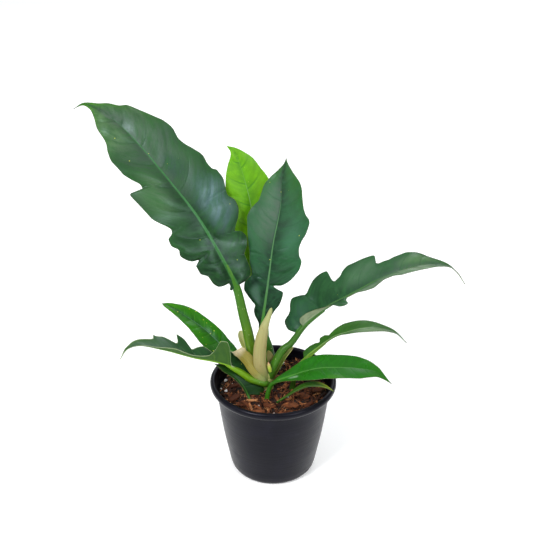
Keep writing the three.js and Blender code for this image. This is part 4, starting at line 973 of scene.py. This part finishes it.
pale_rib = (54, 106, 56)
pale_sole = (104, 122, 84)
skins = {
    "tall": dict(base=(10, 38, 10), heart=(34, 72, 32), tip=(66, 126, 6), rib=pale_rib,
                 vein=(22, 56, 28), under=pale_sole, spots=0.025, vein_show=0.22, sheen_by_side=(0.4, 0.8),
                 lit_streaking=0.6, foot=(48, 100, 34),
                 sheen_and_shade_patches=((0.32, -0.55, 0.55, 0.8, (92, 120, 124)), (0.12, -0.5, 0.5, 0.5, (80, 108, 92)),
                          (0.76, 0.6, 0.75, 0.6, (100, 130, 92)), (0.43, 0.6, 0.5, 0.4, (96, 124, 92)),
                          (0.5, -0.35, 0.35, 0.5, (30, 62, 52)))),
    "young": dict(base=(66, 128, 2), heart=(92, 148, 0), tip=(80, 140, 4),
                  rib=(104, 150, 74), vein=(54, 116, 8), under=(120, 160, 40), gloss=0.45,
                  spots=0.05, vein_show=0.8, edge=(120, 164, 20), foot=(120, 160, 60),
                  tinge=(1, 1, 1, 1)),
    "centre": dict(base=(6, 25, 8), heart=(34, 78, 44), tip=(44, 92, 32), rib=(74, 118, 72),
                   vein=(24, 60, 34), under=pale_sole, spots=0.03, vein_show=0.25, sheen_by_side=(0.85, 0.1),
                   sheen_from=(0.4, 0.62),
                   sheen_and_shade_patches=((0.33, -0.55, 0.6, 0.75, (16, 50, 18)), (0.3, 0.55, 0.4, 0.7, (14, 40, 24)),
                            (0.2, 0.5, 0.3, 0.6, (84, 112, 98)), (0.55, -0.6, 0.5, 0.4, (70, 116, 90)))),
    "arching": dict(base=(16, 50, 24), heart=(38, 80, 40), tip=(52, 96, 20),
                    rib=(60, 100, 48), vein=(26, 60, 34), under=(132, 144, 112), spots=0.01,
                    vein_show=0.25, sheen_by_side=(0.45, 0.8), foot=(50, 104, 22),
                    sheen_and_shade_patches=((0.14, 0.55, 0.5, 0.45, (52, 92, 70)), (0.27, 0.5, 0.45, 0.7, (22, 56, 26)),
                             (0.42, 0.5, 0.5, 0.55, (86, 116, 88)), (0.54, 0.4, 0.35, 0.5, (30, 64, 34)),
                             (0.69, 0.5, 0.5, 0.6, (94, 128, 80)), (0.45, -0.6, 0.6, 0.7, (112, 130, 104)),
                             (0.68, -0.6, 0.9, 0.8, (122, 142, 112)))),
    "small": dict(base=(36, 80, 14), heart=(46, 88, 26), tip=(52, 98, 16),
                  rib=(104, 136, 80), vein=(60, 100, 40), under=(112, 140, 74), spots=0.01,
                  sheen_by_side=(0.25, 0.9), foot=(116, 164, 20),
                  sheen_and_shade_patches=((0.6, -0.6, 0.9, 0.8, (124, 148, 108)), (0.45, 0.5, 0.4, 0.4, (30, 66, 14)))),
    "front": dict(base=(30, 88, 8), heart=(26, 92, 4), tip=(40, 104, 6), rib=(70, 124, 52),
                  vein=(20, 80, 10), under=(100, 140, 70), spots=0.01, gloss=0.27, sheen_by_side=(0.0, 0.15),
                  sheen_and_shade_patches=((0.18, -0.35, 0.22, 0.6, (150, 178, 150)), (0.5, -0.9, 0.4, 0.3, (84, 140, 40)))),
    "sliver": dict(base=(40, 76, 18), heart=(44, 82, 18), tip=(160, 166, 30),
                   rib=(88, 126, 46), vein=(80, 110, 50), under=(90, 116, 60), spots=0.0),
    "upper": dict(base=(22, 62, 18), heart=(40, 104, 4), tip=(56, 122, 8), rib=(66, 106, 74),
                  vein=(86, 146, 50), under=(110, 150, 76), spots=0.32, spot_size=0.22, gloss=0.3),
    "lower": dict(base=(20, 52, 18), heart=(30, 66, 28), tip=(58, 98, 22),
                  rib=(112, 152, 26), vein=(86, 118, 70), under=(56, 90, 30), spots=0.01,
                  sheen_by_side=(0.0, 0.8), sheen_from=(0.45, 0.65), edge=(150, 164, 124), edge_wide=1.3,
                  foot=(112, 160, 20)),
    "basal": dict(base=(14, 44, 2), heart=(18, 54, 4), tip=(34, 70, 18),
                  rib=(50, 90, 26), vein=(50, 84, 40), under=(44, 70, 30), spots=0.01),
}
for leaf, shape in leaves.items():
    size = shape.pop("rib")
    face = faces.get(leaf, ((0, 0, 1), (0, 0, 1)))
    piece = blade_piece(f"{leaf}_blade", ribs[leaf], face, rib_size=size, **shape)
    piece.data.materials.append(leaf_material(f"{leaf}_leaf_skin", **skins[leaf]))
    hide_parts(f"{leaf}_leaf_blade")


# ---- sheaths and bud ----
# Each new leaf comes up wrapped in a papery sheath, which dries, pales and splits once the leaf is
# out. The big one still stands in the middle of the crown, with a new bud at its foot.

PAPER_BANDS = (0.04, 0.26, 0.6, 1.0)


def paper_material(name, foot, body, tip, bands=PAPER_BANDS):
    """A drying sheath: foot, body and tip colours along it, which pass into each other in two
    `bands`, with fine lengthwise fibres, thin brown stains, and a little light coming through."""
    material, tree, shader = new_material(name)
    place = place_in(tree)
    along = mark_in(tree, "along")
    around = mark_in(tree, "fibre")
    lie = vector(tree, times(tree, along, 2.5), times(tree, around, 16.0), 0.0)
    fibre = patchy(tree, lie, 1.0, 0.38, 0.64)
    stain = patchy(tree, place, 150.0, 0.58, 0.78)
    tint = mix(tree, ease(tree, along, *bands[:2]), foot, body)
    tint = mix(tree, ease(tree, along, *bands[2:]), tint, tip)
    tint = mix(tree, times(tree, fibre, 0.4), tint, (138, 146, 84))
    tint = mix(tree, times(tree, stain, 0.45), tint, (132, 104, 60))
    bump = bumped(tree, fibre, 0.4, 0.0004)
    plug(tree, shader, Base_Color=tint, Roughness=ease(tree, fibre, 0.0, 1.0, 0.5, 0.62),
         Normal=bump, Subsurface_Weight=0.2, Subsurface_Radius=(0.003, 0.003, 0.001),
         Subsurface_Scale=0.5)
    return material


cream, straw = (156, 146, 92), (130, 122, 62)
rows, around = 120, 72
wrap = smooth_path([(-10.5, -6, 118), (-12.5, -6, 132), (-15.5, -6.5, 146), (-16, -6, 158), (-14.5, -6, 177),
                    (-10, -5.5, 197), (-5, -4, 211), (-2.5, -3, 219)], rows)
s = np.linspace(0, 1, rows)[:, None]
a = np.linspace(0, 1, around, endpoint=False)[None, :]
along = unit(np.gradient(wrap, axis=0))
side = unit(np.cross([0, -1, 0.2], along))
out = np.cross(along, side)
girth = read([(0, 4), (0.03, 5.6), (0.08, 6.6), (0.15, 7.2), (0.24, 7.6), (0.36, 7.6), (0.5, 7.4),
              (0.66, 6.3), (0.77, 4.9), (0.88, 3.3), (0.97, 2.2), (1, 1.2)], s)
# the sheath is one sheet rolled once round: its radius steps out by the paper's overlap at 0.62 of
# the way round, where the outer edge lies over the inner one, and comes back in by the full turn
lap = np.clip((a - 0.62) / 0.03, 0, 1) * np.clip((1.0 - a) / 0.36, 0, 1)
turns = 2 * math.pi * a
radius = girth * (1 + 0.1 * lap + 0.012 * np.sin(11 * turns + 3 * s) + 0.02 * np.sin(3 * turns + 9 * s))
ring = (wrap[:, None] + side[:, None] * (radius * np.cos(turns))[..., None]
        + out[:, None] * (0.72 * radius * np.sin(turns))[..., None])
tip_point = wrap[-1] + along[-1] * 1.2
foot_point = wrap[0]
marks = {"along": np.r_[np.repeat(s.ravel(), around), 0, 1],
         "fibre": np.r_[np.tile(a.ravel(), rows), 0, 0]}
big_sheath = add_piece("centre_sheath_roll", np.vstack([ring.reshape(-1, 3), foot_point, tip_point]),
                       strip_faces(rows, around), marks, cap_faces(rows, around))
big_sheath.data.materials.append(paper_material("cream_sheath", (112, 130, 62), cream,
                                                (152, 158, 102)))
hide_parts("centre_sheath")

channels = {
    "back": dict(
        rib=[(-22, 12, 137), (-31, 15, 151), (-36.5, 17, 164), (-39, 18, 176.5)], face=(0.2, -1, 0.2),
        left=[(0, 3.2), (0.5, 4.2), (0.85, 4.4), (0.95, 3.6), (1, 1.6)],
        right=[(0, 3.2), (0.5, 4.2), (0.85, 4.4), (0.95, 3.6), (1, 1.6)],
        fold=[(0, 10), (1, 10)], curl=[(0, 40), (1, 30)],
        tints=((186, 190, 110), (196, 202, 116), (210, 210, 150))),
    "left": dict(
        rib=[(-8.5, -13.5, 122), (-11.5, -14, 129), (-19.5, -11.5, 138), (-32, -4, 149), (-45, 1.5, 158.5)],
        face=(0.3, -0.62, 0.72), slant=[(0, 0), (0.8, 0), (1, 0.3)],
        slant_right=[(0, 0), (0.8, 0), (1, -0.35)],
        left=[(0, 3), (0.04, 6), (0.15, 7.8), (0.35, 7), (0.7, 6.8), (0.88, 6.2), (0.92, 7.4), (0.96, 6.2),
              (1, 7)],
        right=[(0, 3.5), (0.04, 8), (0.12, 10), (0.2, 10), (0.3, 9), (0.5, 8), (0.75, 9.5), (0.85, 9),
               (0.9, 11), (0.95, 9.6), (1, 10.5)],
        fold=[(0, -10), (0.4, -5), (0.7, 15), (1, 20)], curl=[(0, -75), (0.35, -55), (0.65, 20), (1, 35)],
        tints=((126, 138, 78), (130, 116, 22), (200, 184, 150)), bands=(0.12, 0.45, 0.78, 0.95)),
    "right": dict(
        rib=[(0, 0, 121), (7, 2, 134), (14, 4, 147), (23.5, 5.5, 161.5)], face=(-0.4, -0.3, 0.9),
        left=[(0, 3), (0.5, 3.6), (0.8, 3.2), (0.95, 2), (1, 0.8)],
        right=[(0, 3), (0.5, 3.6), (0.8, 3.2), (0.95, 2), (1, 0.8)],
        fold=[(0, 15), (1, 15)], curl=[(0, 50), (1, 30)],
        tints=((120, 150, 50), (142, 168, 62), (190, 190, 120))),
    "inner": dict(
        rib=[(-1, 3, 128), (-2, 4.5, 141), (-6, 5, 157)], face=(0.1, -1, 0.2),
        left=[(0, 4), (0.5, 4.4), (0.9, 3), (1, 0.8)], right=[(0, 4), (0.5, 4.4), (0.9, 3), (1, 0.8)],
        fold=[(0, 0), (1, 0)], curl=[(0, 30), (1, 20)], tints=(cream, cream, straw)),
}
for where, shape in channels.items():
    face, tints = shape.pop("face"), shape.pop("tints")
    bands = shape.pop("bands", PAPER_BANDS)
    shape.setdefault("slant", [(0, 0), (1, 0)])
    piece = blade_piece(f"{where}_sheath_channel", face=(face, face), ruffle=(0.35, 2.3, 0.1), rows=60,
                        veins=3, rib_size=0.5, columns=12, thick=(1.0, 0.4), **shape)
    values = np.zeros(len(piece.data.vertices), np.float32)
    piece.data.attributes["across"].data.foreach_get("value", values)
    piece.data.attributes.new("fibre", "FLOAT", "POINT").data.foreach_set("value", values)
    piece.data.materials.append(paper_material(f"{where}_sheath_paper", *tints, bands))
    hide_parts(f"{where}_sheath")

bud = fleshy_rod("new_bud", [(-3.5, -9.5, 137), (-4.6, -10, 143), (-6, -9, 150)],
                 [(0, 1.8), (0.35, 2.4), (0.7, 1.9), (1, 0.5)], rows=40, facing=(0, -1, 0))
bud.data.materials.append(flesh_material("bud_flesh", (160, 190, 60), (196, 150, 120), 0.0,
                                         turn_at=(0.45, 1.0)))
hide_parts("bud")


# ---- studio ----
# A plain pale floor, soft light from all round with a large lamp at the upper left, and the camera
# a little above the plant, looking down at it.

bpy.ops.mesh.primitive_circle_add(vertices=96, radius=14, fill_type="NGON", location=(0, 0, 0))
floor = bpy.context.object
floor.name = "studio_floor"
matte, tree, shader = new_material("pale_floor")
plug(tree, shader, Base_Color=(0.92, 0.92, 0.92, 1), Roughness=0.9, Emission_Color=(1, 1, 1, 1),
     Emission_Strength=0.25)
floor.data.materials.append(matte)

world = bpy.data.worlds.new("studio_air")
world.use_nodes = True
tree = world.node_tree
height = node(tree, "ShaderNodeSeparateXYZ", {0: node(tree,
                                                      "ShaderNodeTexCoord").outputs["Generated"]}).outputs[2]
glow = mix(tree, ease(tree, height, 0.0, 0.75), (0.12, 0.125, 0.13, 1), (0.8, 0.82, 0.85, 1))
glow = mix(tree, ease(tree, height, 0.04, 0.12), (0.95, 0.96, 0.97, 1), glow)
tree.links.new(glow, tree.nodes["Background"].inputs["Color"])
tree.nodes["Background"].inputs["Strength"].default_value = 0.85
bpy.context.scene.world = world


def softbox(name, place, target, size, power):
    lamp = bpy.data.lights.new(name, "AREA")
    lamp.shape, lamp.size, lamp.energy = "DISK", size, power
    box = bpy.data.objects.new(name, lamp)
    bpy.context.scene.collection.objects.link(box)
    box.location = place
    aim = np.array(target) - np.array(place)
    box.rotation_euler = (math.atan2(math.hypot(aim[0], aim[1]), -aim[2]), 0, math.atan2(-aim[0], aim[1]))


softbox("key", (-1.3, -1.5, 2.0), (0, 0, 0.2), 0.9, 54)
softbox("fill", (1.3, -1.5, 1.7), (0, 0, 0.2), 0.8, 22)
softbox("back", (0.5, 1.8, 1.9), (0, 0, 0.25), 1.2, 14)

camera = bpy.data.objects.new("camera", bpy.data.cameras.new("camera"))
bpy.context.scene.collection.objects.link(camera)
camera.location = (-0.00797, -0.98192, 0.79377)
LOOKING_DOWN = 28
camera.rotation_euler = (math.radians(90 - LOOKING_DOWN), 0, 0)
camera.data.sensor_width = 36
camera.data.lens = 67.2
camera.data.clip_start = 0.05
bpy.context.scene.camera = camera
bpy.context.scene.view_settings.view_transform = "Standard"
